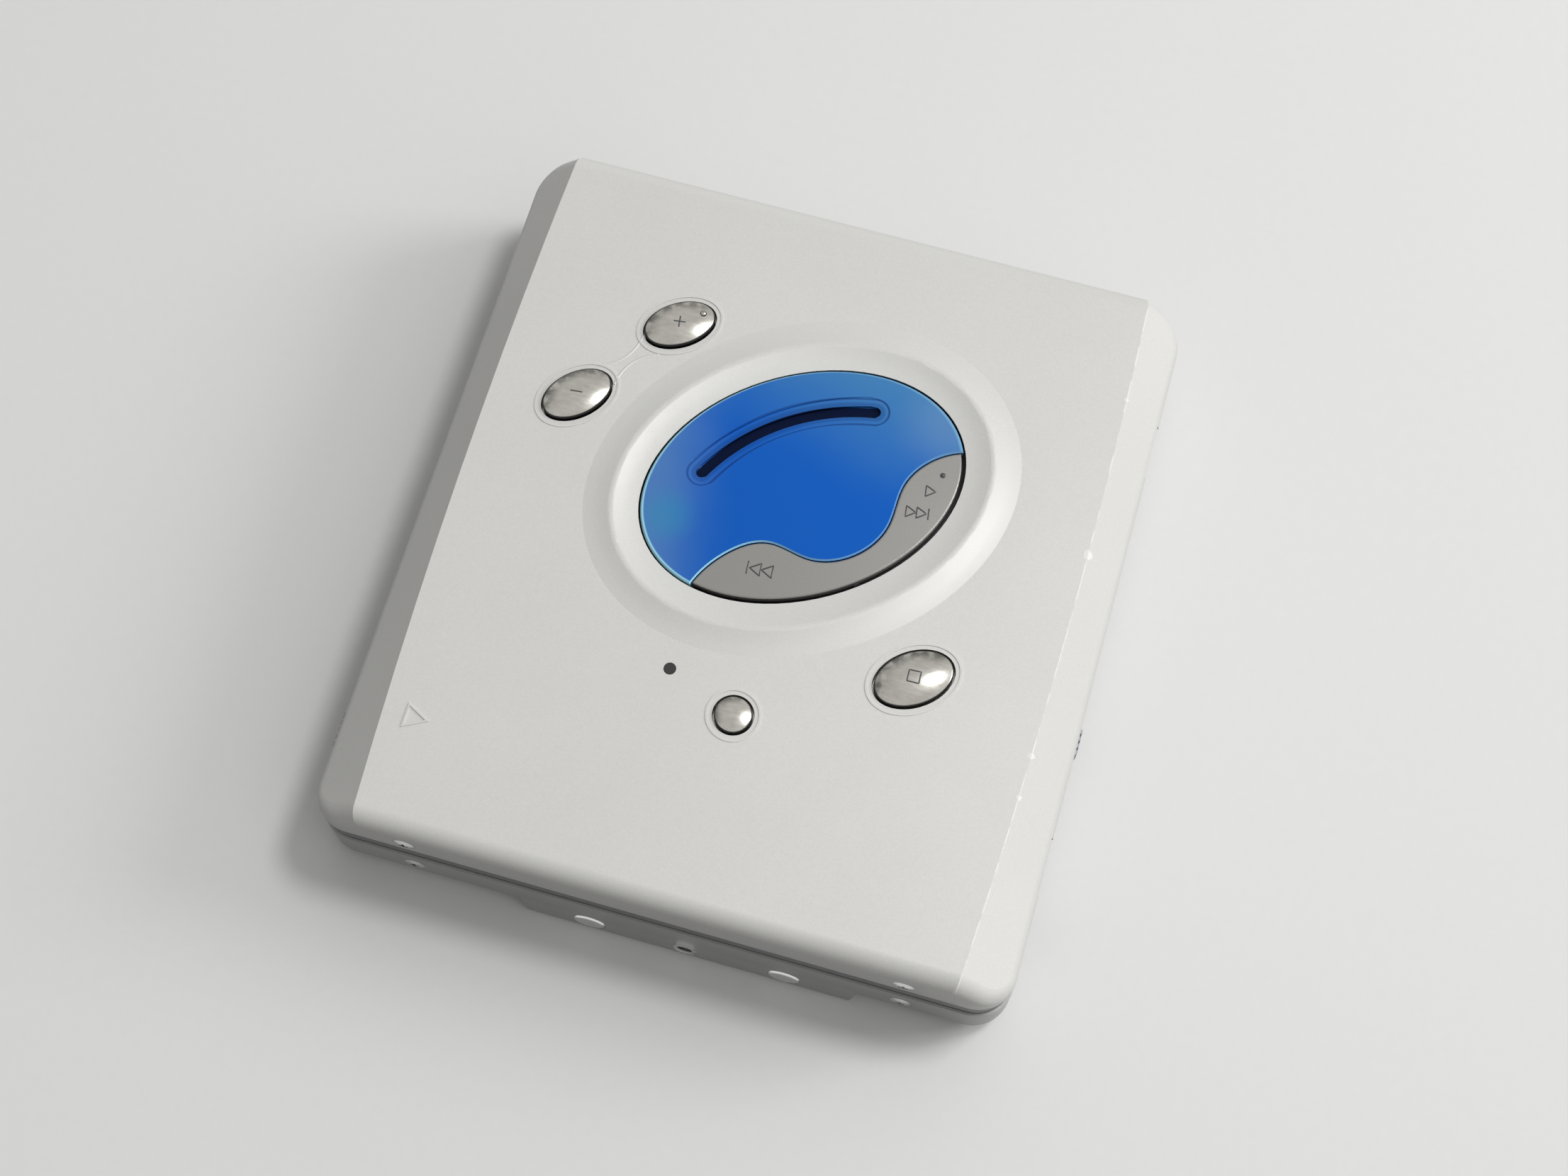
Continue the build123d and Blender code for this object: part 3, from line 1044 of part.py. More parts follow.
def hold_knob():
    """Ribbed pad of the hold slider with its stem into the switch."""
    half, high, stem = HOLD_LENGTH / 2, HOLD_HEIGHT / 2, SLIDER_STEM / 2
    back, front = SIDE - SLIDER_POCKET + SLIDER_SEAT, SIDE + HOLD_PROUD
    pad = block((back, front), (HOLD_Y - half, HOLD_Y + half), (HOLD_Z - high, HOLD_Z + high))
    pad = fillet(pad.edges().group_by(Axis.X)[-1], SLIDER_EDGE)
    groove, across = SLIDER_GROOVE_WIDTH / 2, (HOLD_Z - high, HOLD_Z + high)
    pad -= [block((front - SLIDER_GROOVE, front + OVERCUT), (y - groove, y + groove), across)
            for y in (HOLD_Y - SLIDER_PITCH, HOLD_Y, HOLD_Y + SLIDER_PITCH)]
    tip = SIDE - WALL - PART_GAP - HOLD_SWITCH_SLOT + SLIDER_PLAY
    return pad + block((tip, back), (HOLD_Y - stem, HOLD_Y + stem), (HOLD_Z - stem, HOLD_Z + stem))


def threaded_socket():
    """Brass insert in the belly for a clip-on battery case's screw."""
    rim = -FACE - SOCKET_PROUD
    body = rod_y(SOCKET_X, TERMINAL_Z, rim, -FACE + SOCKET_DEPTH, SOCKET_RADIUS)
    return body - rod_y(SOCKET_X, TERMINAL_Z, rim - OVERCUT, -FACE + SOCKET_DEPTH - SOCKET_FLOOR, SOCKET_BORE)


# ---- Battery door ---------------------------------------------------------------------------
def battery_door():
    """Slice of the cover's wall that swings on an upright pin."""
    skin = cover_form(0, 0, COVER_TOP) - cover_form(WALL, FLOOR, COVER_TOP + OVERCUT)
    low, high = FLOOR + DOOR_GAP, BAY_TOP - DOOR_GAP
    near = DOOR_PIN_Y + DOOR_BARREL_RADIUS + DOOR_GAP
    plate = skin & block((-SIDE - OVERCUT, -SIDE + 2 * WALL), (near, DOOR_FAR - DOOR_GAP), (low, high))
    arm = block((-SIDE, DOOR_PIN_X + DOOR_BARREL_RADIUS), (DOOR_PIN_Y, near), (BARREL_LOW, BARREL_HIGH))
    barrel = pillar(DOOR_PIN_X, DOOR_PIN_Y, BARREL_LOW, BARREL_HIGH, DOOR_BARREL_RADIUS)
    grip_far = DOOR_FAR - DOOR_GRIP_INSET
    grip = block((-SIDE - OVERCUT, -SIDE + DOOR_GRIP_DEPTH), (grip_far - DOOR_GRIP_WIDTH, grip_far),
                 (BARREL_LOW, BARREL_HIGH))
    door = plate + arm + barrel - grip
    return door - pillar(DOOR_PIN_X, DOOR_PIN_Y, 0, HEIGHT, DOOR_PIN_RADIUS + DOOR_RUNNING)


def door_contact():
    """Contact leaf inside the battery door."""
    return bowed_leaf(-SIDE + WALL + LEAF_SHEET, BATTERY_LEFT - DOOR_CONTACT_GAP)


# ---- Cartridge holder -----------------------------------------------------------------------
def disc_holder():
    """Folded sheet holder: top plate with windows, side walls, lips, end stop and hinge ears."""
    left, right = -CARTRIDGE_LENGTH / 2 + HOLDER_MOUTH, CARTRIDGE_LENGTH / 2 + HOLDER_STOP_GAP
    inner = CARTRIDGE_WIDTH / 2 + CARTRIDGE_PLAY
    outer, end = inner + HOLDER_SHEET, right + HOLDER_SHEET
    mouth, beyond = left - OVERCUT, end + OVERCUT
    holder = block((left, end), (-outer, outer), (LIPS_BOTTOM, HOLDER_TOP))
    holder -= block((mouth, right), (-inner, inner), (SLOT_BOTTOM, SLOT_TOP))
    lip_edge = inner - HOLDER_LIP
    holder -= block((mouth, beyond), (-lip_edge, lip_edge), (LIPS_BOTTOM - OVERCUT, SLOT_BOTTOM))
    holder -= block((right, beyond), (-outer, outer), (LIPS_BOTTOM - OVERCUT, SLOT_BOTTOM + HOLDER_STOP_LIFT))
    for low, high in ((-outer, -HOLDER_STOP), (HOLDER_STOP, outer)):
        holder -= block((CARTRIDGE_LENGTH / 2 - HOLDER_MOUTH, beyond), (low, high),
                        (SLOT_TOP - HOLDER_NOTCH, HOLDER_TOP + OVERCUT))
    for low, high in WINDOW_SPANS:
        window = RectangleRounded(high - low, WINDOW_LENGTH, WINDOW_RADIUS)
        holder -= extrude(Pos((low + high) / 2, 0, SLOT_TOP - HOLDER_SHEET) * window, 3 * HOLDER_SHEET)
    ear = holder_ear(right)
    holder += [ear, mirror(ear, Plane.XZ)]
    holder -= rod_y(HINGE_X, HINGE_Z, -FACE, FACE, HINGE_PIN_RADIUS + HINGE_RUNNING)
    return holder


def holder_ear(right):
    """The ear of the holder on the hinge pin, on the far side."""
    span = (EAR_NEAR, EAR_NEAR + EAR_THICK)
    web = block((right, HINGE_X), span, (HINGE_Z - EAR_RADIUS, HINGE_Z + EAR_RADIUS))
    return rod_y(HINGE_X, HINGE_Z, span[0], span[1], EAR_RADIUS) + web


def hinge_pins():
    """One pin at each end of the hinge side, fixed in the frame's knuckle."""
    start, end = LUG_NEAR + LUG_BITE + HINGE_GAP, EAR_NEAR + EAR_THICK + HINGE_GAP
    pin = rod_y(HINGE_X, HINGE_Z, start, end, HINGE_PIN_RADIUS)
    return [pin, mirror(pin, Plane.XZ)]


# ---- Lid ------------------------------------------------------------------------------------
def bevel_cutter(side, inset):
    """What the long bevel takes off one side of the lid; its crest bows along the case."""
    low, high = HEIGHT - 1.4 * BEVEL_RISE, HEIGHT + 0.4 * BEVEL_RISE
    beyond = SIDE + BEVEL_RISE
    sections = []
    crest = ((-FACE - OVERCUT, BEVEL_NEAR), (BEVEL_MIDDLE_Y, BEVEL_MIDDLE), (FACE + OVERCUT, BEVEL_FAR))
    for y, width in crest:
        foot = SIDE - inset * hypot(width, BEVEL_RISE) / BEVEL_RISE
        corners = [(foot + 0.4 * width, low), (foot - 1.4 * width, high), (beyond, high), (beyond, low)]
        outline = Polyline(*[(side * x, z) for x, z in corners], close=True)
        sections.append(Plane.XZ.offset(-y) * make_face(outline))
    return loft(sections)


def lid_form(inset, bevel_inset, low):
    """The lid's form: bowed bevels, then near and far edges rolled over top, bevels and corners."""
    body = slab(inset, low, HEIGHT - inset) - bevel_cutter(-1, bevel_inset) - bevel_cutter(1, bevel_inset)
    end = FACE - inset - CORNER_RADIUS / 2
    rims = [edge for edge in body.edges() if abs(edge.center().Y) > end and edge.center().Z > low + OVERCUT
            and abs((edge @ 1 - edge @ 0).X) > edge.length / 4]
    return fillet(rims, ROLL_RADIUS - inset)


def dial_ring():
    """Raised ring around the dial: two hollow flanks that meet in a rounded ridge."""
    base, top, ridge = CEILING + PANEL_GAP, HEIGHT - RING_SINK, HEIGHT + RING_RISE
    shoulder = ridge - RING_SLOPE * RING_RIDGE / 2
    start = Plane(origin=(DIAL.long, 0, 0), x_dir=(1, 0, 0), z_dir=(0, -1, 0))
    inside, outside = RING_CREST - RING_RIDGE, RING_CREST + RING_RIDGE
    outline = [
        Line((-RING_ROOT, base), (-RING_ROOT, HEIGHT)),
        Spline((-RING_ROOT, HEIGHT), (inside, shoulder), tangents=[(1, RING_FOOT_SLOPE), (1, RING_SLOPE)]),
        ThreePointArc((inside, shoulder), (RING_CREST, ridge), (outside, shoulder)),
        Spline((outside, shoulder), (RING_WIDTH, top), tangents=[(1, -RING_SLOPE), (1, -RING_FOOT_SLOPE)]),
        Line((RING_WIDTH, top), (RING_WIDTH, base)),
        Line((RING_WIDTH, base), (-RING_ROOT, base)),
    ]
    ring = sweep(start * make_face(outline), path=Edge.make_ellipse(DIAL.long, DIAL.short))
    return Pos(DIAL.x, DIAL.y, 0) * Rot(0, 0, DIAL.tilt) * ring


def button_lips(oval):
    """Thin raised line around one button hole."""
    low, high = HEIGHT - FUSE, HEIGHT + LIP_RISE
    return oval_prism(oval, LIP_OFFSET + LIP_WIDTH, low, high) - oval_prism(oval, LIP_OFFSET, low, high)


def insertion_arrow():
    """Raised triangle that points along the way the cartridge goes in."""
    place = Pos(ARROW_INSET_X - SIDE, ARROW_INSET_Y - FACE, 0) * Rot(0, 0, -90)
    outer = Triangle(a=ARROW_BASE, b=ARROW_LEG, c=ARROW_LEG)
    inner = Triangle(a=ARROW_LINE * ARROW_BASE, b=ARROW_LINE * ARROW_LEG, c=ARROW_LINE * ARROW_LEG)
    solid = extrude(Pos(0, 0, HEIGHT - FUSE) * place * outer, FUSE + ARROW_RISE)
    return solid - extrude(Pos(0, 0, HEIGHT) * place * inner, OVERCUT)


def lid_lugs():
    """The lid's two hinge lugs on the far side."""
    spans = ((LUG_NEAR, LUG_NEAR + LUG_LENGTH), (LUG_FAR - LUG_LENGTH, LUG_FAR))
    lugs = []
    for span in spans:
        stem = block((HINGE_X - KNUCKLE_RADIUS, SIDE - WALL / 2), span, (HINGE_Z, HEIGHT - ROLL_RADIUS))
        stem = stem & lid_form(WALL / 2, BEVEL_WALL / 2, HINGE_Z)
        lugs.append(rod_y(HINGE_X, HINGE_Z, span[0], span[1], KNUCKLE_RADIUS) + stem)
    return lugs


def knuckle_room():
    """Room in the lid for the frame's knuckle and the holder's ear, on the far side."""
    half, reach = KNUCKLE_LENGTH / 2 + HINGE_GAP, KNUCKLE_RADIUS + PANEL_GAP
    span = (KNUCKLE_Y - half, KNUCKLE_Y + half)
    room = rod_y(HINGE_X, HINGE_Z, span[0], span[1], reach)
    room += block((HINGE_X, SIDE + OVERCUT), span, (HINGE_Z - reach, HINGE_Z + reach))
    ear_reach = EAR_NEAR + EAR_THICK + HINGE_GAP
    return room + rod_y(HINGE_X, HINGE_Z, LUG_FAR, ear_reach, EAR_RADIUS + PANEL_GAP)


def lid_catches():
    """Two catches inside the insertion side, each with a foot for the latch."""
    inner = -SIDE + WALL + PANEL_GAP
    sheet = (inner, inner + CATCH_THICK)
    low, high = LID_BOTTOM - CATCH_DROP, LID_BOTTOM + CATCH_RISE
    catches = []
    for y in CATCH_Y:
        span = (y - CATCH_LENGTH / 2, y + CATCH_LENGTH / 2)
        stem = block(sheet, span, (low, high))
        root = block((-SIDE + WALL / 2, sheet[1]), span, (LID_BOTTOM + FUSE, high))
        foot = block(sheet, (span[1], span[1] + CATCH_FOOT), (low, low + CATCH_FOOT_HEIGHT))
        catches.append(stem + root + foot)
    return catches


def heel_cutter():
    """Chamfer under the hinge side, so that the lid's heel clears the frame as it swings."""
    beyond = SIDE + OVERCUT
    outline = Polyline((SIDE - LID_HEEL, LID_BOTTOM), (beyond, LID_BOTTOM + LID_HEEL + OVERCUT),
                       (beyond, LID_BOTTOM - OVERCUT), (SIDE - LID_HEEL, LID_BOTTOM - OVERCUT), close=True)
    return extrude(Plane.XZ.offset(-FACE) * make_face(outline), DEPTH)


def lid_shell():
    """The lid's hollow moulding with the ring, button lines, arrow and the dial's tray."""
    lid = lid_form(0, 0, LID_BOTTOM) - lid_form(WALL, BEVEL_WALL, LID_BOTTOM - OVERCUT)
    lid += dial_ring()
    lid += [button_lips(oval) for oval in BUTTONS]
    lid += insertion_arrow()
    return lid + oval_prism(DIAL, TRAY_MARGIN, TRAY_BOTTOM, CEILING + FUSE)


def lid_openings():
    """Holes in the lid for the dial, the key's plungers, the buttons, the lamp and the screws."""
    above = HEIGHT + RING_RISE + OVERCUT
    holes = [oval_prism(DIAL, 0, CEILING, above)]
    plunger = PLUNGER_RADIUS + PLUNGER_CLEARANCE
    holes += [pillar(*dial_point(spot), TRAY_BOTTOM - OVERCUT, CEILING + OVERCUT, plunger)
              for spot in KEY_PLUNGERS]
    holes += [oval_prism(oval, 0, CEILING - OVERCUT, above) for oval in BUTTONS]
    holes.append(pillar(LED_X, LED_Y, CEILING - OVERCUT, above, LED_RADIUS + LED_CLEARANCE))
    return holes + screw_holes(LID_BOTTOM + LID_SCREW_LIFT)


def lid_cover():
    """Moulded lid: bowed bevels, rolled edges, dial ring and tray, lugs, catches and holes."""
    lid = lid_shell() - lid_openings() - heel_cutter()
    lugs, room = lid_lugs(), knuckle_room()
    for turn in (lambda piece: piece, lambda piece: mirror(piece, Plane.XZ)):
        lid -= turn(room)
        lid += [turn(lug) for lug in lugs]
    inner, outer = LUG_NEAR + LUG_BITE, LUG_FAR + OVERCUT
    lid -= [rod_y(HINGE_X, HINGE_Z, low, high, HINGE_PIN_RADIUS + HINGE_RUNNING)
            for low, high in ((inner, outer), (-outer, -inner))]
    return lid + lid_catches()


def lid_liner():
    """Sheet plate inside the lid, with tabs folded down behind the near and far walls."""
    inner = FACE - WALL - LINER_GAP
    side, edge = SIDE - LINER_INSET, inner - LINER_TAB_SHEET + LINER_GAP / 2
    plate = block((-side, side), (-edge, edge), (LINER_BOTTOM, LINER_TOP))
    screw_z, half = LID_BOTTOM + LID_SCREW_LIFT, LINER_TAB_WIDTH / 2
    tabs = []
    for x in (-SCREW_X, SCREW_X):
        fold = block((x - half, x + half), (-inner, LINER_SHEET - inner + LINER_TAB_SHEET),
                     (LINER_BOTTOM - LINER_FOLD, LINER_TOP))
        tab = block((x - half, x + half), (-inner, LINER_TAB_SHEET - inner),
                    (screw_z - LINER_TAB_DROP, LINER_TOP - LINER_FOLD))
        tabs.append(fold + tab)
    plate += tabs + [mirror(tab, Plane.XZ) for tab in tabs]
    return plate - [rod_y(x, screw_z, -FACE, FACE, SCREW_RADIUS) for x in (-SCREW_X, SCREW_X)]


def dome_spots():
    """Plan positions of the dome switches: one under each button and each key plunger."""
    return [(oval.x, oval.y) for oval in BUTTONS] + [dial_point(spot) for spot in KEY_PLUNGERS]


def switch_board():
    """Thin board on the liner, with a lobe under every switch."""
    board = oval_prism(DIAL, -BOARD_LOBE_INSET, LINER_TOP, SWITCH_BOARD_TOP)
    for x, y in dome_spots() + [(LED_X, LED_Y)]:
        board += pillar(x, y, LINER_TOP, SWITCH_BOARD_TOP, PAD_RADIUS)
        run, turn = hypot(x - DIAL.x, y - DIAL.y), degrees(atan2(y - DIAL.y, x - DIAL.x))
        middle = Pos((x + DIAL.x) / 2, (y + DIAL.y) / 2, (LINER_TOP + SWITCH_BOARD_TOP) / 2)
        board += middle * Rot(0, 0, turn) * Box(run, STRIP_WIDTH, SWITCH_BOARD_THICK)
    return board


def switch_domes():
    """Metal snap domes on the switch board."""
    return [pillar(x, y, SWITCH_BOARD_TOP, SWITCH_BOARD_TOP + DOME_HEIGHT / 2, DOME_RADIUS)
            + pillar(x, y, SWITCH_BOARD_TOP, DOME_TOP, DOME_TOP_RADIUS) for x, y in dome_spots()]


def button(oval, proud):
    """One oval button: domed in both directions, rounded rim, flange under the lid."""
    cap = oval_prism(oval, -BUTTON_GAP, BUTTON_BOTTOM, HEIGHT + proud)
    ball = scale(Sphere(BUTTON_DOME_RADIUS), by=(oval.long / oval.short, 1, 1))
    middle = Pos(oval.x, oval.y, HEIGHT + proud - BUTTON_DOME_RADIUS)
    cap = cap & (middle * Rot(0, 0, oval.tilt) * ball)
    cap = fillet(cap.faces().sort_by(Axis.Z)[-1].edges(), BUTTON_EDGE)
    return cap + oval_prism(oval, BUTTON_FLANGE, BUTTON_BOTTOM, BUTTON_BOTTOM + FLANGE_THICK)


def key_plan(shift):
    """The side of the dial that the rocker key takes, moved towards the window by a gap."""
    points = [dial_point(point) for point in KEY_WAVE]
    beyond = dial_point((DIAL.long + KEY_BEYOND, -DIAL.long - KEY_BEYOND))
    edges = [Spline(*points), Line(points[-1], beyond), Line(beyond, points[0])]
    turn = radians(90 + DIAL.tilt)
    return Pos(shift * cos(turn), shift * sin(turn), 0) * make_face(edges)


def dial_crown():
    """Shallow dome over window and key."""
    radius = DIAL.long ** 2 / (2 * DIAL_CROWN)
    return Pos(DIAL.x, DIAL.y, HEIGHT + DIAL_CROWN + DIAL_RIM - radius) * Sphere(radius)


def display_window():
    """Tinted window of the dial with its curved slit, on the lid's tray."""
    crown = HEIGHT + DIAL_CROWN + DIAL_RIM
    body = oval_prism(DIAL, -DIAL_GAP, CEILING, crown + OVERCUT)
    body -= extrude(Pos(0, 0, CEILING - OVERCUT) * key_plan(KEY_INNER_GAP), crown - CEILING + 2 * OVERCUT)
    body = body & dial_crown()
    body = chamfer(body.faces().sort_by(Axis.Z)[-1].edges(), WINDOW_BEVEL)
    arc = ThreePointArc(*[dial_point(point) for point in (SLIT_START, SLIT_MIDDLE, SLIT_END)])
    for width, depth in ((SLIT_BORDER_WIDTH, SLIT_BORDER_DEPTH), (SLIT_WIDTH, SLIT_DEPTH)):
        body -= extrude(Pos(0, 0, crown - SLIT_SINK - depth) * SlotArc(arc, width), SLIT_SINK + depth)
    return body


def rocker_key():
    """Crescent rocker key: crowned top, pivot rib under its neck and two plungers."""
    low, above = CEILING + KEY_LIFT, HEIGHT + DIAL_CROWN + DIAL_RIM + OVERCUT
    body = extrude(Pos(0, 0, low) * key_plan(0), above - low)
    body = body & oval_prism(DIAL, -KEY_OUTER_GAP, low, above) & dial_crown()
    body = fillet(body.faces().sort_by(Axis.Z)[-1].edges(), KEY_EDGE)
    rib = Pos(*dial_point(KEY_PIVOT), low) * Rot(0, 0, KEY_PIVOT_ANGLE) * Rot(0, 90, 0)
    body += rib * Cylinder(KEY_PIVOT_RADIUS, KEY_PIVOT_LENGTH)
    floor = DOME_TOP + BUTTON_TRAVEL + BUTTON_SLACK
    return body + [pillar(*dial_point(spot), floor, low + FUSE, PLUNGER_RADIUS) for spot in KEY_PLUNGERS]


def led_lens():
    """Light pipe of the indicator, from the switch board to the lid's top."""
    return pillar(LED_X, LED_Y, SWITCH_BOARD_TOP, HEIGHT, LED_RADIUS)


# ---- Open slider ----------------------------------------------------------------------------
def open_knob():
    """Ribbed pad of the open slider with its stem through the frame."""
    half, high, stem = OPEN_LENGTH / 2, OPEN_HEIGHT / 2, SLIDER_STEM / 2
    outside = -SIDE + BAND_INSET
    back, front = outside + SLIDER_POCKET - SLIDER_SEAT, outside - OPEN_PROUD
    pad = block((front, back), (OPEN_Y - half, OPEN_Y + half), (OPEN_Z - high, OPEN_Z + high))
    pad = fillet(pad.edges().group_by(Axis.X)[0], SLIDER_EDGE)
    groove, across = SLIDER_GROOVE_WIDTH / 2, (OPEN_Z - high, OPEN_Z + high)
    places = [OPEN_Y + step * SLIDER_PITCH for step in (-1.5, -0.5, 0.5, 1.5)]
    pad -= [block((front - OVERCUT, front + SLIDER_GROOVE), (y - groove, y + groove), across)
            for y in places]
    return pad + block((back, LATCH_X), (OPEN_Y - stem, OPEN_Y + stem), (OPEN_Z - stem, OPEN_Z + stem))


def latch_plate():
    """Strip behind the insertion wall, with a tongue beside each catch of the lid."""
    inner = LATCH_X + LATCH_SHEET
    plate = block((LATCH_X, inner), (OPEN_Y - LATCH_NEAR_END, CATCH_Y[1] + LATCH_FAR_END),
                  (LATCH_LOW, LATCH_LOW + LATCH_HEIGHT))
    tongue_z = LID_BOTTOM - CATCH_DROP + CATCH_FOOT_HEIGHT
    for y in CATCH_Y:
        start = y + CATCH_LENGTH / 2 + CATCH_FOOT + LATCH_GAP
        plate += block((LATCH_X - LATCH_TONGUE_REACH, inner), (start, start + LATCH_TONGUE),
                       (tongue_z, tongue_z + LATCH_TONGUE_THICK))
    return plate


# ---- Output ---------------------------------------------------------------------------------
def save(name, piece):
    """Write one node; a list becomes a group of separate solids."""
    pieces = piece if isinstance(piece, list) else [piece]
    solids = [solid for part in pieces for solid in part.solids()]
    export_step(solids[0] if len(solids) == 1 else Compound(children=solids), f"parts/{name}.step")


def main():
    os.makedirs("parts", exist_ok=True)
    pieces = {
        "bottom_cover": bottom_cover(),
        "mid_frame": mid_frame(),
        "deck_plate": deck_plate(),
        "deck_dampers": dampers(),
        "deck_screws": deck_screws(),
        "guide_shafts": [guide_shaft(x) for x in (-SHAFT_X, SHAFT_X)],
        "spindle_motor": spindle_motor(),
        "turntable": turntable(),
        "chuck_magnet": chuck_magnet(),
        "locating_pins": locating_pins(),
        "sled": sled(),
        "objective_lens": objective_lens(),
        "sled_rack": sled_rack(),
        "feed_gear": feed_gear(),
        "feed_post": feed_post(),
        "drive_pinion": drive_pinion(),
        "feed_motor": feed_motor(),
        "main_board": main_board(),
        "board_chips": board_chips(),
        "battery": battery(),
        "battery_contact": battery_contact(),
        "battery_door": battery_door(),
        "door_contact": door_contact(),
        "door_pin": pillar(DOOR_PIN_X, DOOR_PIN_Y, HOOK_LOW, DOOR_PIN_TOP, DOOR_PIN_RADIUS),
        "headphone_jack": headphone_jack(),
        "hold_switch": hold_switch(),
        "hold_knob": hold_knob(),
        "belly_terminals": [terminal(x) for x in TERMINAL_X],
        "threaded_socket": threaded_socket(),
        "case_screws": screw_set(COVER_TOP - COVER_SCREW_DROP, WALL + SCREW_TAB_THICK),
        "disc_holder": disc_holder(),
        "hinge_pins": hinge_pins(),
        "lid_cover": lid_cover(),
        "lid_liner": lid_liner(),
        "lid_screws": screw_set(LID_BOTTOM + LID_SCREW_LIFT, WALL + LID_SCREW_REACH),
        "switch_board": switch_board(),
        "switch_domes": switch_domes(),
        "display_window": display_window(),
        "rocker_key": rocker_key(),
        "vol_up_button": button(VOL_UP, BUTTON_PROUD),
        "vol_down_button": button(VOL_DOWN, BUTTON_PROUD),
        "stop_button": button(STOP, BUTTON_PROUD),
        "group_button": button(GROUP, GROUP_PROUD),
        "led_lens": led_lens(),
        "open_knob": open_knob(),
        "latch_plate": latch_plate(),
    }
    for name, piece in pieces.items():
        save(name, piece)


main()
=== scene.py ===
"""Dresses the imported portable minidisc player: finishes, pictograms, light and camera."""

import logging
from dataclasses import dataclass, field
from enum import Enum
from math import cos, hypot, pi, radians, sin, sqrt
from typing import Callable, Iterable, NamedTuple, Optional, Sequence, Union

import bpy
from mathutils import Matrix, Vector


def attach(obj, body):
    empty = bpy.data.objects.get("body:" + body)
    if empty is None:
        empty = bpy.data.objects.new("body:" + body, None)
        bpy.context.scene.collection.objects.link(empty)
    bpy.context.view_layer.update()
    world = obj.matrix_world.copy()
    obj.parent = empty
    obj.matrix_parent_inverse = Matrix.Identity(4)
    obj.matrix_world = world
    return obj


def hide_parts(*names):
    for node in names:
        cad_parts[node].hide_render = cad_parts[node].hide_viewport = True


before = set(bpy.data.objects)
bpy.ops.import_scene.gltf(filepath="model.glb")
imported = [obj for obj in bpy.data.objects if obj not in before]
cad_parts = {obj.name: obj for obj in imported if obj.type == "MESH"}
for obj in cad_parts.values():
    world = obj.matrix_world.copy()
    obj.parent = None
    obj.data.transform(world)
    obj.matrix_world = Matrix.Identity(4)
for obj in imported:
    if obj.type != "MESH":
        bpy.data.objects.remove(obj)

log = logging.getLogger("player")
MM = 0.001
MIDDLE = 0.5  # of a run from 0 to 1, and a noise texture's average
MIX_FACTOR, MIX_FIRST, MIX_SECOND, MIX_RESULT = 0, 6, 7, 2  # a Mix node's sockets for colours

Triple = tuple[float, float, float]
Colour = Triple
Point = tuple[float, float]
Span = tuple[float, float]
HeightMap = Callable[[float, float], float]


# ---- Shader building ----
class Grain(NamedTuple):
    """A noise texture's grains to the millimetre, its finer detail, and its stretch along the axes."""

    scale: float
    detail: float = 2.0
    pull: Optional[Triple] = None


class Relief(NamedTuple):
    """A bump's depth in metres, and how much of it shows."""

    depth: float
    share: float


class Pip(NamedTuple):
    """A tactile pip's middle in the plan, its radius and its height."""

    at: Point
    radius: float
    height: float


class Wire:
    """One node socket that can stand in a Python expression."""

    def __init__(self, graph: "Graph", socket: bpy.types.NodeSocket) -> None:
        """Wraps a socket.

        Args:
            graph: The graph that the socket belongs to.
            socket: The output socket.
        """
        self.graph = graph
        self.socket = socket

    def __add__(self, other: "Value") -> "Wire":
        """Adds a value."""
        return self.graph.math("ADD", self, other)

    def __radd__(self, other: "Value") -> "Wire":
        """Adds to a value."""
        return self.graph.math("ADD", other, self)

    def __sub__(self, other: "Value") -> "Wire":
        """Subtracts a value."""
        return self.graph.math("SUBTRACT", self, other)

    def __rsub__(self, other: "Value") -> "Wire":
        """Subtracts from a value."""
        return self.graph.math("SUBTRACT", other, self)

    def __mul__(self, other: "Value") -> "Wire":
        """Multiplies by a value."""
        return self.graph.math("MULTIPLY", self, other)

    def __rmul__(self, other: "Value") -> "Wire":
        """Multiplies a value."""
        return self.graph.math("MULTIPLY", other, self)

    def __truediv__(self, other: "Value") -> "Wire":
        """Divides by a value."""
        return self.graph.math("DIVIDE", self, other)

    def __rtruediv__(self, other: "Value") -> "Wire":
        """Divides a value."""
        return self.graph.math("DIVIDE", other, self)

    def __abs__(self) -> "Wire":
        """Takes the absolute value."""
        return self.graph.math("ABSOLUTE", self)

    def __lt__(self, other: "Value") -> "Wire":
        """Is 1 where this is less than a value."""
        return self.graph.math("LESS_THAN", self, other)

    def __gt__(self, other: "Value") -> "Wire":
        """Is 1 where this is more than a value."""
        return self.graph.math("GREATER_THAN", self, other)

    def smooth(self, low: float, high: float) -> "Wire":
        """Rises smoothly from 0 to 1.

        Args:
            low: Where the rise starts.
            high: Where it ends.

        Returns:
            The smoothed value.
        """
        sockets = {"Value": self, "From Min": low, "From Max": high}
        return self.graph.ask("ShaderNodeMapRange", sockets, "Result", interpolation_type="SMOOTHSTEP")


Value = Union[Wire, int, float]
Tint = Union[Wire, Colour]
Inputs = dict[str, Union[Value, Tint]]
Setting = Union[str, bool]


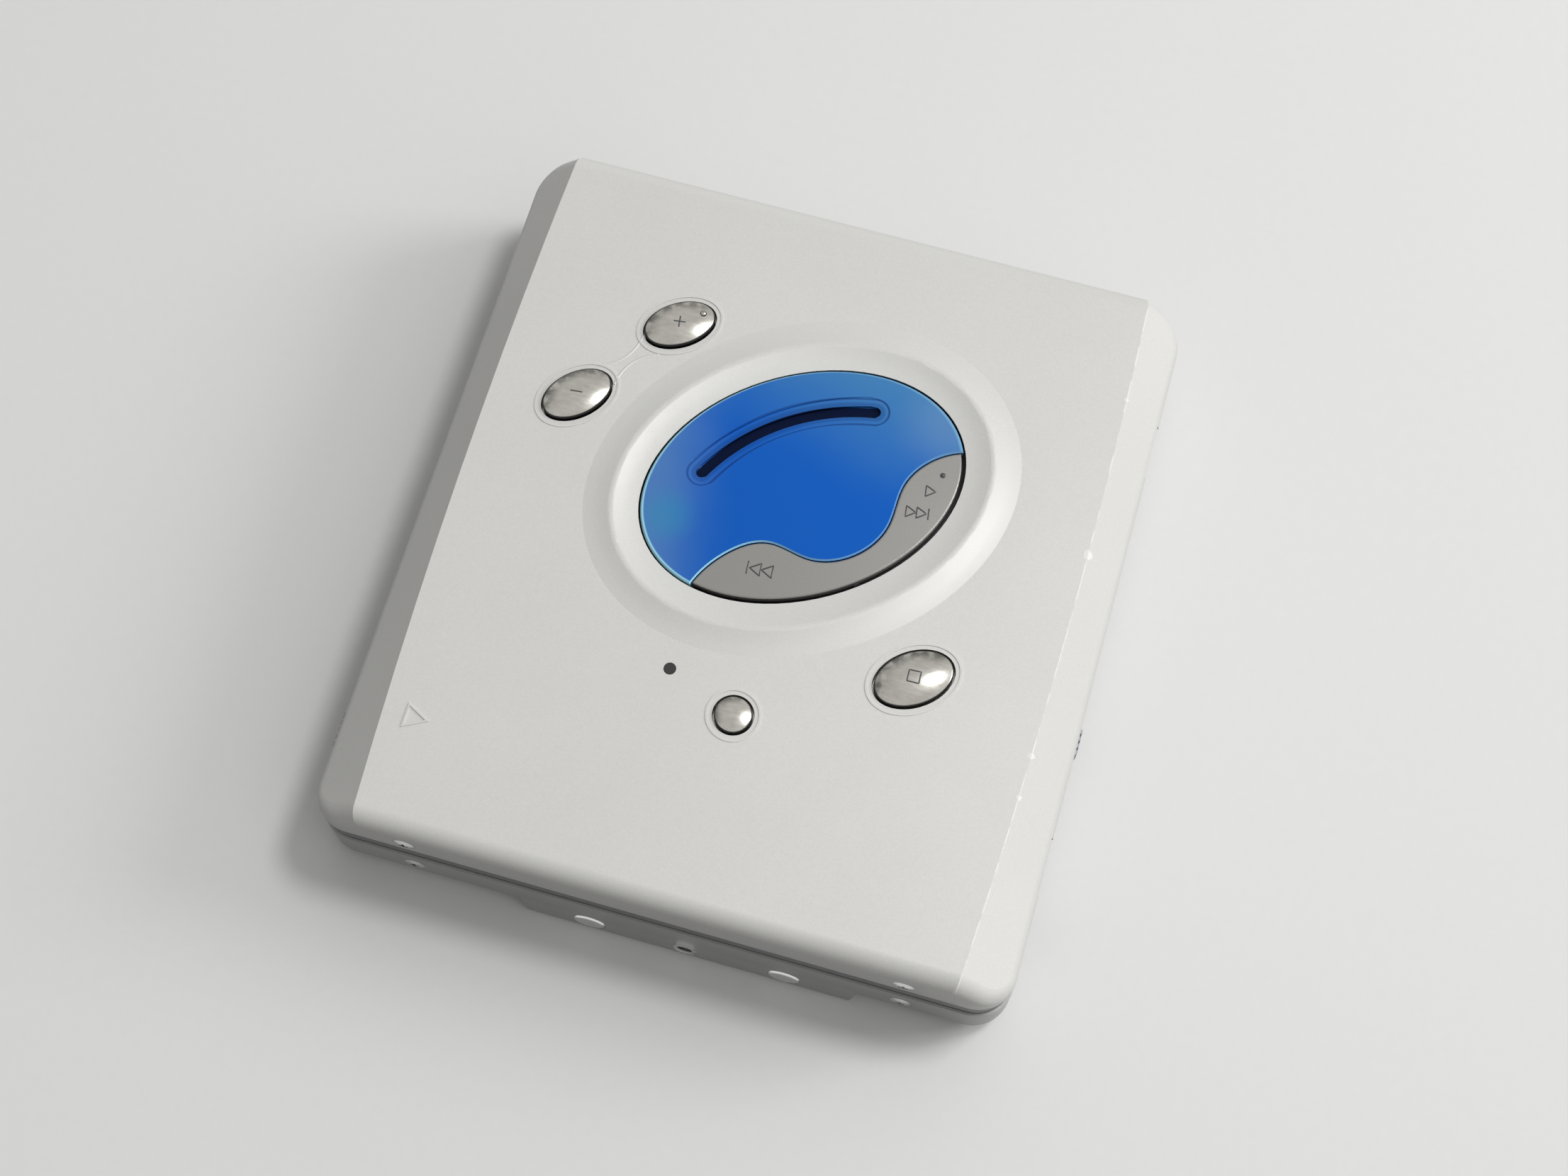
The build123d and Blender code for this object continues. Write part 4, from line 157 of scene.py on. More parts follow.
class Graph:
    """The nodes of a material or of the surroundings."""

    def __init__(self, owner: Union[bpy.types.Material, bpy.types.World]) -> None:
        """Empties the owner's node tree.

        Args:
            owner: The material or world that the nodes belong to.
        """
        owner.use_nodes = True
        self.tree = owner.node_tree
        self.tree.nodes.clear()

    def node(self, kind: str, sockets: Optional[dict] = None, **settings: Setting) -> bpy.types.Node:
        """Adds one node.

        Args:
            kind: The node's type.
            sockets: Values or links by socket name or number.
            settings: Its properties, set before its sockets.

        Returns:
            The node.
        """
        made = self.tree.nodes.new(kind)
        for name, value in settings.items():
            setattr(made, name, value)
        for name, value in (sockets or {}).items():
            socket = made.inputs[name]
            if isinstance(value, Wire):
                self.tree.links.new(value.socket, socket)
            elif isinstance(value, tuple) and socket.type == "RGBA":
                socket.default_value = (*value, 1.0)
            else:
                socket.default_value = value
        return made

    def ask(self, kind: str, sockets: Optional[dict] = None, output: Union[str, int] = 0,
            **settings: Setting) -> Wire:
        """Adds a node and takes one of its outputs.

        Args:
            kind: The node's type.
            sockets: Its inputs.
            output: The output's name or number.
            settings: Its properties.

        Returns:
            The output as a wire.
        """
        return Wire(self, self.node(kind, sockets, **settings).outputs[output])

    def math(self, operation: str, *values: Value) -> Wire:
        """Adds one Math node.

        Args:
            operation: What it does.
            values: Its inputs, in order.

        Returns:
            Its result.
        """
        return self.ask("ShaderNodeMath", dict(enumerate(values)), operation=operation)

    def times(self, first: Tint, second: Tint) -> Wire:
        """Multiplies two vectors or colours, number by number."""
        return self.ask("ShaderNodeVectorMath", {0: first, 1: second}, operation="MULTIPLY")

    def most(self, first: Value, second: Value) -> Wire:
        """Takes the larger of two values."""
        return self.math("MAXIMUM", first, second)

    def length(self, x: Wire, y: Wire) -> Wire:
        """Gives the length of a plan vector."""
        return self.math("SQRT", x * x + y * y)

    def mix(self, factor: Value, first: Tint, second: Tint) -> Wire:
        """Mixes two colours.

        Args:
            factor: 0 for the first, 1 for the second.
            first: A colour.
            second: Another.

        Returns:
            The mixed colour.
        """
        sockets = {MIX_FACTOR: factor, MIX_FIRST: first, MIX_SECOND: second}
        return self.ask("ShaderNodeMix", sockets, MIX_RESULT, data_type="RGBA", clamp_factor=True)

    def parts(self, vector: Wire) -> tuple[Wire, Wire, Wire]:
        """Splits a vector into its three numbers."""
        x, y, z = self.node("ShaderNodeSeparateXYZ", {0: vector}).outputs
        return Wire(self, x), Wire(self, y), Wire(self, z)

    def seen(self) -> Wire:
        """Tells apart the rays that see the background.

        Returns:
            1 on rays from the camera, a mirror or glass, and 0 on the rest.
        """
        camera, mirror, glass = (self.ask("ShaderNodeLightPath", output=f"Is {kind} Ray")
                                 for kind in ("Camera", "Glossy", "Transmission"))
        return self.most(self.most(camera, mirror), glass)


class Surface(Graph):
    """A material, the nodes that make it, and the point that they shade."""

    def __init__(self, name: str) -> None:
        """Starts a material at the point's place on the piece at rest, in millimetres.

        Args:
            name: The material's name.
        """
        self.material = bpy.data.materials.new(name)
        super().__init__(self.material)
        place = self.ask("ShaderNodeTexCoord", output="Object")
        self.spot = self.ask("ShaderNodeVectorMath", {0: place, "Scale": 1 / MM}, operation="SCALE")
        self.x, self.y, self.z = self.parts(self.spot)

    def facing(self) -> tuple[Wire, Wire, Wire]:
        """Gives the surface's normal at rest, as three numbers."""
        return self.parts(self.ask("ShaderNodeTexCoord", output="Normal"))

    def shade(self, colour: Tint, amount: Value) -> Wire:
        """Multiplies a colour by a number.

        Args:
            colour: The colour.
            amount: The number.

        Returns:
            The scaled colour.
        """
        grey = self.ask("ShaderNodeCombineXYZ", {"X": amount, "Y": amount, "Z": amount})
        return self.times(colour, grey)

    def noise(self, grain: Grain) -> Wire:
        """Adds a noise texture.

        Args:
            grain: How fine it is.

        Returns:
            Its value, from 0 to 1.
        """
        spot = self.times(self.spot, grain.pull) if grain.pull else self.spot
        sockets = {"Vector": spot, "Scale": grain.scale, "Detail": grain.detail}
        return self.ask("ShaderNodeTexNoise", sockets, "Fac")

    def bump(self, height: Wire, relief: Relief) -> Wire:
        """Turns a height into a normal.

        Args:
            height: The height, 0 to 1.
            relief: How deep it is.

        Returns:
            The normal.
        """
        sockets = {"Height": height, "Distance": relief.depth, "Strength": relief.share}
        return self.ask("ShaderNodeBump", sockets)

    def close(self, **sockets: Union[Value, Tint]) -> bpy.types.Material:
        """Ends the material with a Principled shader.

        Args:
            sockets: Inputs by name, with underscores for spaces.

        Returns:
            The material.
        """
        named = {name.replace("_", " "): value for name, value in sockets.items()}
        shader = self.ask("ShaderNodeBsdfPrincipled", named)
        self.node("ShaderNodeOutputMaterial", {"Surface": shader})
        return self.material


# ---- Places on the lid ----
@dataclass(frozen=True)
class Oval:
    """An oval in the lid's plan, in millimetres and degrees."""

    x: float
    y: float
    tilt: float
    long: float
    short: float

    def share(self, on: Surface) -> Wire:
        """Gives how far out a point is: 1 on the oval itself.

        Args:
            on: The surface that the point is on.

        Returns:
            The share.
        """
        turn, x, y = radians(self.tilt), on.x - self.x, on.y - self.y
        along = (x * cos(turn) + y * sin(turn)) / self.long
        across = (y * cos(turn) - x * sin(turn)) / self.short
        return on.length(along, across)

    def at(self, along: float, across: float) -> Point:
        """Turns a place in the oval's own axes into the plan."""
        c, s = cos(radians(self.tilt)), sin(radians(self.tilt))
        return (self.x + along * c - across * s, self.y + along * s + across * c)


LID_TOP = 17.0
DIAL = Oval(2.3, 7.85, 35.0, 17.85, 12.8)
VOL_UP = Oval(-15.68, 22.3, 35.0, 4.15, 2.72)
VOL_DOWN = Oval(-23.9, 11.3, 45.0, 4.15, 2.72)
STOP = Oval(19.2, -9.85, 36.4, 4.5, 3.05)
GROUP = Oval(2.45, -18.68, 0.0, 2.19, 2.19)


@dataclass(frozen=True)
class SlitArc:
    """The middle line of the dial's curved slit, a circle's arc over the chord between its two ends."""

    bow: float
    start: Point = (-8.4, 6.2)
    end: Point = (7.5, 18.0)

    def half(self) -> float:
        """Gives half the chord's length."""
        return hypot(self.end[0] - self.start[0], self.end[1] - self.start[1]) / 2

    def radius(self) -> float:
        """Gives the circle's radius."""
        return (self.half() ** 2 + self.bow ** 2) / (2 * self.bow)

    def outward(self) -> Point:
        """Gives the unit vector from the chord to the arc."""
        span = 2 * self.half()
        return (-(self.end[1] - self.start[1]) / span, (self.end[0] - self.start[0]) / span)

    def height(self, along: float) -> float:
        """Gives how far the arc stands off its chord, at a distance from the chord's middle."""
        return sqrt(self.radius() ** 2 - along ** 2) - self.radius() + self.bow

    def axes(self, x: Value, y: Value) -> tuple[Value, Value]:
        """Turns a place in the plan into the chord's own axes.

        Args:
            x: Its X.
            y: Its Y.

        Returns:
            The distances along the chord from its middle, and off it.
        """
        mx, my = (self.start[0] + self.end[0]) / 2, (self.start[1] + self.end[1]) / 2
        ox, oy = self.outward()
        return (x - mx) * oy - (y - my) * ox, (x - mx) * ox + (y - my) * oy

    def reach(self, on: Surface) -> Wire:
        """Measures how far a point lies from the arc.

        Args:
            on: The surface that the point is on.

        Returns:
            The distance in millimetres.
        """
        along, off = self.axes(on.x, on.y)
        sink = self.radius() - self.bow
        to_arc = abs(on.length(along, off + sink) - self.radius())
        to_end = on.length(abs(along) - self.half(), off)
        within = (off + sink) * self.half() > abs(along) * sink
        return to_arc * within + to_end * (1 - within)


SLIT = SlitArc(bow=2.35)
PLAIN_SLIT = SlitArc(bow=3.9)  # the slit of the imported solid


# ---- Finishes ----
@dataclass(frozen=True)
class Finish:
    """A finish by name; each kind gives its own inputs of the Principled shader."""

    name: str

    def inputs(self, on: Surface) -> Inputs:
        """Gives the shader's inputs.

        Args:
            on: The surface to add nodes to.

        Returns:
            The inputs by name, with underscores for spaces.
        """
        raise NotImplementedError

    def material(self) -> bpy.types.Material:
        """Builds the material."""
        on = Surface(self.name)
        return on.close(**self.inputs(on))


@dataclass(frozen=True)
class CrestWear:
    """Paint rubbed through in a line and in chips along the crest of the hinge side's bowed bevel."""

    crest: float = 33.2
    bow: float = 0.00065
    middle: float = 10.0
    wander: Grain = Grain(0.35)
    wander_reach: float = 0.08
    line_fade: Span = (0.03, 0.10)
    breaks: Grain = Grain(0.55, 4.0, (0.2, 1.0, 0.2))
    breaks_fade: Span = (0.42, 0.56)
    chips: tuple[Point, ...] = ((8.5, 0.55), (-14.5, 0.38), (-19.0, 0.3), (27.0, 0.22))  # Y and radius
    chip_core: float = 0.8
    ragged: Grain = Grain(2.2, 4.0)
    ragged_reach: float = 0.7

    def mask(self, on: Surface) -> Wire:
        """Masks the rubbed line and the chips.

        Args:
            on: The painted surface.

        Returns:
            1 where the paint is gone.
        """
        bow = (on.y - self.middle) * (on.y - self.middle) * self.bow
        wander = (on.noise(self.wander) - MIDDLE) * self.wander_reach
        off = abs(on.x + bow - self.crest + wander)
        breaks = on.noise(self.breaks).smooth(*self.breaks_fade)
        worn = (1 - off.smooth(*self.line_fade)) * breaks
        ragged = (on.noise(self.ragged) - MIDDLE) * self.ragged_reach
        for where, size in self.chips:
            reach = on.length(off, on.y - where) + ragged
            worn = on.most(worn, 1 - reach.smooth(size * self.chip_core, size))
        return worn


@dataclass(frozen=True)
class SilverPaint(Finish):
    """Fine metallic paint over plastic, with painted shade in near black inside its wells and along its
    seams, and the same near black under the lid.
    """

    colour: Colour = (0.675, 0.67, 0.65)
    bare: Colour = (0.84, 0.84, 0.83)
    # near black: painted shade in the wells and along the seams, and the colour under the lid
    painted_shade_and_underside_colour: Colour = (0.010, 0.010, 0.011)
    wells: tuple[Oval, ...] = ()
    seams: tuple[float, ...] = ()
    wear: Optional[CrestWear] = None
    flake: Grain = Grain(5.5, 3.0)
    cloud_and_dark_reflection: Grain = Grain(0.06)
    flake_tone: float = 0.16
    cloud_tone: float = 0.05
    rough: float = 0.42
    flake_rough: float = 0.14
    wear_rough: float = 0.12
    metal: float = 0.13
    cloud_metal: float = 0.05
    relief: Relief = Relief(0.00001, 0.35)
    coat: float = 0.04
    coat_rough: float = 0.4
    shine: float = 0.3
    well_share: float = 1.012
    well_lip: float = 0.12
    seam_half: float = 0.3
    under_facing: float = -0.25
    under_height: float = 11.3

    def painted_shade_and_underside(self, on: Surface) -> Value:
        """Masks the painted shade inside the wells and along the seams, and the underside of the lid.

        Args:
            on: The painted surface.

        Returns:
            1 on the painted shade and under the lid.
        """
        painted_shade_and_underside: Value = 0.0
        # painted shade in the gaps round the dial and the buttons, below the lid's top
        for well in self.wells:
            within = well.share(on) < self.well_share
            painted_shade_and_underside = on.most(painted_shade_and_underside, within * (on.z < LID_TOP - self.well_lip))
        # painted shade along the seams between the shells
        for seam in self.seams:
            painted_shade_and_underside = on.most(painted_shade_and_underside, abs(on.z - seam) < self.seam_half)
        if self.wells:
            under = (on.facing()[2] < self.under_facing) * (on.z > self.under_height)
            painted_shade_and_underside = on.most(painted_shade_and_underside, under)
        return painted_shade_and_underside

    def inputs(self, on: Surface) -> Inputs:
        """Gives the paint.

        Args:
            on: The surface to add nodes to.

        Returns:
            The shader's inputs.
        """
        flake, cloud_and_dark_reflection = on.noise(self.flake), on.noise(self.cloud_and_dark_reflection)
        tone = 1.0 + (flake - MIDDLE) * self.flake_tone + (cloud_and_dark_reflection - MIDDLE) * self.cloud_tone
        colour = on.shade(self.colour, tone)
        rough = self.rough + (flake - MIDDLE) * self.flake_rough
        metal = self.metal + (cloud_and_dark_reflection - MIDDLE) * self.cloud_metal
        if self.wear:
            worn = self.wear.mask(on)
            colour = on.mix(worn, colour, self.bare)
            rough = rough + worn * self.wear_rough
            metal = metal * (1 - worn)
        # the painted shade and the dark underside take the place of the paint
        painted_shade_and_underside = self.painted_shade_and_underside(on)
        return dict(Base_Color=on.mix(painted_shade_and_underside, colour, self.painted_shade_and_underside_colour), Roughness=rough,
                    Metallic=metal * (1 - painted_shade_and_underside), Normal=on.bump(flake, self.relief),
                    Coat_Weight=self.coat, Coat_Roughness=self.coat_rough,
                    Specular_IOR_Level=self.shine)


@dataclass(frozen=True)
class TintedWindow(Finish):
    """Deep blue polish: paler at its top, violet at its left, with a painted highlight along its rim
    and on its bevels, and its slit painted near black as the shade in its groove.
    """

    deep: Colour = (0.0, 0.110, 0.54)
    pale: Colour = (0.055, 0.225, 0.50)
    violet: Colour = (0.10, 0.245, 0.54)
    # painted highlight on the rim and the bevels
    rim_highlight: Colour = (0.42, 0.80, 0.92)
    line: Colour = (0.0, 0.035, 0.20)
    # painted shade: near black for the slit's groove
    slit: Colour = (0.001, 0.006, 0.030)
    patches: tuple[tuple[Point, Span, float, Colour], ...] = (  # middle, fade, share and colour
        ((-10.6, 0.5), (0.5, 4.0), 0.45, (0.03, 0.30, 0.50)),
        ((15.5, 18.5), (0.5, 7.0), 0.3, (0.22, 0.36, 0.57)),
    )
    drift: Grain = Grain(0.10)
    drift_reach: float = 5.0
    pale_lean: float = 0.25
    pale_fade: Span = (9.0, 26.0)
    violet_lean: float = 0.2
    violet_fade: Span = (-13.5, -3.0)
    violet_share: float = 0.8
    bevel_facing: Span = (0.4, 0.93)
    rim_fade: Span = (0.964, 0.974)
    rim_share: float = 0.85
    rim_loss: float = 0.6
    rim_lean: float = 0.6
    rim_loss_fade: Span = (-10.0, 18.0)
    slit_half: float = 0.575
    slit_blur: float = 0.06
    border_half: float = 1.5
    line_fade: Span = (0.06, 0.16)
    line_share: float = 0.6
    band_fade: Span = (0.9, 1.25)
    band_share: float = 0.4
    haze: Grain = Grain(0.5, 3.0)
    rough: float = 0.12
    haze_rough: float = 0.06
    slit_rough: float = 0.4
    coat: float = 0.22
    coat_rough: float = 0.04
    shine: float = 0.06

    def tint(self, on: Surface) -> Wire:
        """Mixes the tint of the window's face.

        Args:
            on: The window's surface.

        Returns:
            The colour.
        """
        drift = (on.noise(self.drift) - MIDDLE) * self.drift_reach
        top = (on.y + drift + on.x * self.pale_lean).smooth(*self.pale_fade)
        left = 1 - (on.x + drift + on.y * self.violet_lean).smooth(*self.violet_fade)
        colour = on.mix(top, self.deep, self.pale)
        colour = on.mix(left * self.violet_share, colour, self.violet)
        for (px, py), fade, share, patch in self.patches:
            away = on.length(on.x - px, on.y - py).smooth(*fade)
            colour = on.mix((1 - away) * share, colour, patch)
        return colour

    def rim_highlight_mask(self, on: Surface) -> Wire:
        """Masks the painted highlight on the rim and the bevels, fading towards the far right.

        Args:
            on: The window's surface.

        Returns:
            How much of the painted highlight shows.
        """
        up, (low, high) = on.facing()[2], self.bevel_facing
        loss = (on.x + on.y * self.rim_lean).smooth(*self.rim_loss_fade) * self.rim_loss
        # painted highlight along the window's outer edge
        rim_highlight = DIAL.share(on).smooth(*self.rim_fade)
        return on.most((up > low) * (up < high), rim_highlight) * (self.rim_share - loss)

    def inputs(self, on: Surface) -> Inputs:
        """Gives the window.

        Args:
            on: The surface to add nodes to.

        Returns:
            The shader's inputs.
        """
        # the painted highlight goes over the tint
        colour = on.mix(self.rim_highlight_mask(on), self.tint(on), self.rim_highlight)
        reach = SLIT.reach(on)
        line = 1 - abs(reach - self.border_half).smooth(*self.line_fade)
        band = 1 - reach.smooth(*self.band_fade)
        colour = on.mix(on.most(line * self.line_share, band * self.band_share), colour, self.line)
        # painted shade: the slit's groove goes near black and matte
        slit_shade = 1 - reach.smooth(self.slit_half - self.slit_blur, self.slit_half + self.slit_blur)
        rough = self.rough + on.noise(self.haze) * self.haze_rough + slit_shade * self.slit_rough
        return dict(Base_Color=on.mix(slit_shade, colour, self.slit), Roughness=rough,
                    Coat_Weight=self.coat - slit_shade * self.coat, Coat_Roughness=self.coat_rough,
                    Specular_IOR_Level=self.shine)


@dataclass(frozen=True)
class Chrome(Finish):
    """Bright smoked plating, with patches of painted dark reflection towards its far and left rims, and
    painted black shade and dark reflection where it turns down into its hole.
    """

    ovals: tuple[Oval, ...]
    colour: Colour = (0.50, 0.485, 0.445)
    # painted dark reflection in patches towards the far and left rims
    dark_reflection_colour: Colour = (0.10, 0.095, 0.085)
    # painted black shade and dark reflection on the steep rim
    steep_rim_shade_and_reflection: Colour = (0.010, 0.010, 0.010)
    haze: Grain = Grain(0.9, 3.0)
    rub: Grain = Grain(0.8, 4.0, (1.0, 3.0, 1.0))
    tone: float = 0.64
    haze_tone: float = 0.26
    rub_tone: float = 0.40
    edge_facing: Span = (0.72, 0.90)
    edge_dulling: float = 0.6
    dark_reflection_lean: float = 0.7
    dark_reflection_facing: Span = (-0.10, 0.20)
    dark_reflection_fade: Span = (0.40, 0.92)
    dark_reflection_haze: Span = (0.30, 0.62)
    dark_reflection_share: float = 0.9
    rough: float = 0.17
    rub_rough: float = 0.08
    relief: Relief = Relief(0.00002, 0.12)

    def inputs(self, on: Surface) -> Inputs:
        """Gives the plating.

        Args:
            on: The surface to add nodes to.

        Returns:
            The shader's inputs.
        """
        share = self.ovals[0].share(on)
        for oval in self.ovals[1:]:
            share = on.math("MINIMUM", share, oval.share(on))
        haze, rub = on.noise(self.haze), on.noise(self.rub)
        east, north, up = on.facing()
        # the steep rim turning into the hole takes painted shade and dark reflection
        steep = 1 - up.smooth(*self.edge_facing)
        # painted dark reflection on rims that face far and left, in patches
        lean = (north * self.dark_reflection_lean - east).smooth(*self.dark_reflection_facing)
        cloud_and_dark_reflection = share.smooth(*self.dark_reflection_fade) * lean * haze.smooth(*self.dark_reflection_haze)
        colour = on.shade(self.colour, self.tone + haze * self.haze_tone + rub * self.rub_tone)
        colour = on.mix(cloud_and_dark_reflection * self.dark_reflection_share, colour, self.dark_reflection_colour)
        return dict(Base_Color=on.mix(steep, colour, self.steep_rim_shade_and_reflection), Metallic=1 - steep * self.edge_dulling,
                    Roughness=self.rough + rub * self.rub_rough, Normal=on.bump(haze, self.relief))


@dataclass(frozen=True)
class Grained(Finish):
    """Moulded plastic, or another stock with a fine grain and a slow drift of its tone."""

    colour: Colour
    rough: float = 0.5
    fine: Grain = Grain(3.5, 4.0)
    relief: Relief = Relief(0.00002, 0.5)
    drift: Grain = Grain(0.15)
    tone: float = 0.93
    fine_tone: float = 0.06
    drift_tone: float = 0.08
    fine_rough: float = 0.15
    metal: float = 0.0
    coat: float = 0.0
    coat_rough: float = 0.12

    def inputs(self, on: Surface) -> Inputs:
        """Gives the stock.

        Args:
            on: The surface to add nodes to.

        Returns:
            The shader's inputs.
        """
        fine = on.noise(self.fine)
        tone = self.tone + fine * self.fine_tone
        if self.drift_tone:
            tone = tone + on.noise(self.drift) * self.drift_tone
        return dict(Base_Color=on.shade(self.colour, tone), Metallic=self.metal,
                    Roughness=self.rough + (fine - MIDDLE) * self.fine_rough,
                    Normal=on.bump(fine, self.relief), Coat_Weight=self.coat,
                    Coat_Roughness=self.coat_rough)


@dataclass(frozen=True)
class KeyPaint(Grained):
    """Smooth darker silver of the rocker key."""

    colour: Colour = (0.285, 0.28, 0.265)
    rough: float = 0.32
    fine: Grain = Grain(6.0, 3.0)
    relief: Relief = Relief(0.000008, 0.3)
    tone: float = 0.95
    fine_tone: float = 0.10
    drift_tone: float = 0.0
    fine_rough: float = 0.08
    metal: float = 0.45
    coat: float = 0.15


@dataclass(frozen=True)
class Metal(Grained):
    """Sheet, ground or turned metal with its working marks along one direction."""

    rough: float = 0.3
    fine: Grain = Grain(1.0, 3.0, (8.0, 0.4, 8.0))
    relief: Relief = Relief(0.000006, 0.4)
    drift: Grain = Grain(0.12, 3.0)
    tone: float = 0.90
    fine_tone: float = 0.10
    fine_rough: float = 0.18
    metal: float = 1.0


@dataclass(frozen=True)
class CircuitBoard(Finish):
    """Solder mask over copper tracks with tinned pads."""

    mask: Colour = (0.010, 0.085, 0.045)
    track: Colour = (0.018, 0.16, 0.075)
    pad: Colour = (0.62, 0.60, 0.55)
    bend: Grain = Grain(0.25, 0.0)
    bend_reach: float = 6.0
    columns: Point = (0.8, 0.2)  # pitch, and half width as a share of it
    rows: Point = (0.9, 0.18)
    zone: Grain = Grain(0.08, 0.0)
    pad_scale: float = 0.45
    pad_reach: float = 0.12
    pad_metal: float = 0.9
    rough: float = 0.32
    pad_rough: float = 0.05
    relief: Relief = Relief(0.00003, 0.6)

    def inputs(self, on: Surface) -> Inputs:
        """Gives the board, its tracks running one way in some zones and the other way in the rest.

        Args:
            on: The surface to add nodes to.

        Returns:
            The shader's inputs.
        """
        bend = (on.noise(self.bend) - MIDDLE) * self.bend_reach
        columns, rows = (
            abs(on.math("FRACT", across / pitch) - MIDDLE) < half
            for across, (pitch, half) in ((on.x + bend, self.columns), (on.y - bend, self.rows))
        )
        zone = on.noise(self.zone) > MIDDLE
        tracks = columns * zone + rows * (1 - zone)
        sockets = {"Vector": on.spot, "Scale": self.pad_scale}
        pads = on.ask("ShaderNodeTexVoronoi", sockets, "Distance") < self.pad_reach
        colour = on.mix(pads, on.mix(tracks, self.mask, self.track), self.pad)
        return dict(Base_Color=colour, Roughness=self.rough + pads * self.pad_rough,
                    Metallic=pads * self.pad_metal, Normal=on.bump(tracks, self.relief))


@dataclass(frozen=True)
class BatteryWrap(Finish):
    """Plain shrink film round the flat cell, with bare metal at its ends."""

    film: Colour = (0.035, 0.12, 0.34)
    steel: Colour = (0.62, 0.62, 0.6)
    middle: float = -1.4
    film_half: float = 33.2
    crease: Grain = Grain(0.5, 3.0, (0.3, 1.0, 1.0))
    tone: float = 0.9
    crease_tone: float = 0.2
    rough: float = 0.25
    crease_rough: float = 0.12
    relief: Relief = Relief(0.00006, 0.3)

    def inputs(self, on: Surface) -> Inputs:
        """Gives the wrap.

        Args:
            on: The surface to add nodes to.

        Returns:
            The shader's inputs.
        """
        end = abs(on.x - self.middle) > self.film_half
        crease = on.noise(self.crease)
        film = on.shade(self.film, self.tone + crease * self.crease_tone)
        return dict(Base_Color=on.mix(end, film, self.steel), Metallic=end,
                    Roughness=self.rough + crease * self.crease_rough,
                    Normal=on.bump(crease, self.relief))


@dataclass(frozen=True)
class LensGlass(Finish):
    """Coated lens that looks violet and blue."""

    blue: Colour = (0.10, 0.12, 0.34)
    violet: Colour = (0.26, 0.08, 0.34)
    sheen: Grain = Grain(0.6, 1.0)
    rough: float = 0.05
    coat_rough: float = 0.02

    def inputs(self, on: Surface) -> Inputs:
        """Gives the lens.

        Args:
            on: The surface to add nodes to.

        Returns:
            The shader's inputs.
        """
        return dict(Base_Color=on.mix(on.noise(self.sheen), self.blue, self.violet),
                    Roughness=self.rough, Coat_Weight=1.0, Coat_Roughness=self.coat_rough)


# the lid's paint takes painted shade in the wells round the dial and the buttons
LID_PAINT = SilverPaint("lid_silver", wells=(DIAL, VOL_UP, VOL_DOWN, STOP, GROUP), wear=CrestWear())
# the cover's silver is darker than the lid's as painted shade, chiefly for the near side
COVER_PAINT = SilverPaint("cover_silver", colour=(0.50, 0.50, 0.49))
# the frame's dark grey is partly its own tone and partly painted shade; its seams get painted shade too
FRAME_PAINT = SilverPaint("frame_silver", colour=(0.22, 0.222, 0.225), seams=(7.85, 10.9))
DIAL_TINT = TintedWindow("dial_blue")
SMOKED_CHROME = Chrome("button_chrome", (VOL_UP, VOL_DOWN, STOP, GROUP))
KEY_SILVER = KeyPaint("key_silver")
BROAD, SHALLOW = Grain(1.0, 4.0), Relief(0.00001, 0.5)  # of glossy plastics
TURNED = Grain(1.0, 3.0, (5.0, 5.0, 5.0))
MARK_GREY = Grained("pictogram_grey", (0.055, 0.056, 0.06), 0.35)
KEY_MARK = Grained("key_mark", (0.045, 0.046, 0.05), 0.3)
SMOKED_LIGHT = Grained("smoked_light", (0.03, 0.028, 0.028), 0.2, BROAD, SHALLOW)
GREY_PLASTIC = Grained("slider_grey", (0.33, 0.34, 0.37), 0.45)
BLACK_PLASTIC = Grained("black_plastic", (0.016, 0.016, 0.018), 0.45)
WHITE_ACETAL = Grained("white_acetal", (0.74, 0.73, 0.70), 0.4, Grain(1.5, 4.0))
SOFT_RUBBER = Grained("soft_rubber", (0.018, 0.018, 0.018), 0.8, Grain(5.0, 4.0), Relief(0.00004, 0.5))
CHIP_BLACK = Grained("chip_black", (0.02, 0.02, 0.022), 0.55, Grain(6.0, 4.0))
POLYIMIDE = Grained("polyimide", (0.40, 0.17, 0.035), 0.3, BROAD, SHALLOW)
ZINC_SHEET = Metal("zinc_sheet", (0.60, 0.61, 0.62), 0.34)
GROUND_STEEL = Metal("ground_steel", (0.70, 0.70, 0.71), 0.16, Grain(1.0, 3.0, (9.0, 0.3, 9.0)))
DRAWN_CAN = Metal("drawn_can", (0.50, 0.50, 0.51), 0.28, Grain(1.0, 3.0, (4.0, 4.0, 0.5)))
NICKEL_SCREW = Metal("nickel_screw", (0.74, 0.74, 0.75), 0.2, TURNED)
PLATED_BRASS = Metal("plated_brass", (0.80, 0.60, 0.28), 0.22)
MAGNET = Metal("sintered_magnet", (0.16, 0.16, 0.17), 0.45, TURNED)
BOARD = CircuitBoard("main_board_green")
WRAP = BatteryWrap("battery_film")
LENS = LensGlass("coated_lens")


@dataclass
class Palette:
    """All the finishes, each built once."""

    made: dict[str, bpy.types.Material] = field(default_factory=dict)

    def get(self, finish: Finish) -> bpy.types.Material:
        """Builds a finish the first time and gives its material.

        Args:
            finish: The finish.

        Returns:
            Its material.
        """
        if finish.name not in self.made:
            self.made[finish.name] = finish.material()
        return self.made[finish.name]


# ---- Mesh making ----
def clad(mesh: bpy.types.Mesh, material: bpy.types.Material) -> None:
    """Gives a mesh one material only."""
    mesh.materials.clear()
    mesh.materials.append(material)


def put(name: str, data: bpy.types.ID) -> bpy.types.Object:
    """Makes an object and puts it in the scene.

    Args:
        name: The object's name.
        data: Its mesh, light or camera.

    Returns:
        The object.
    """
    made = bpy.data.objects.new(name, data)
    bpy.context.scene.collection.objects.link(made)
    return made


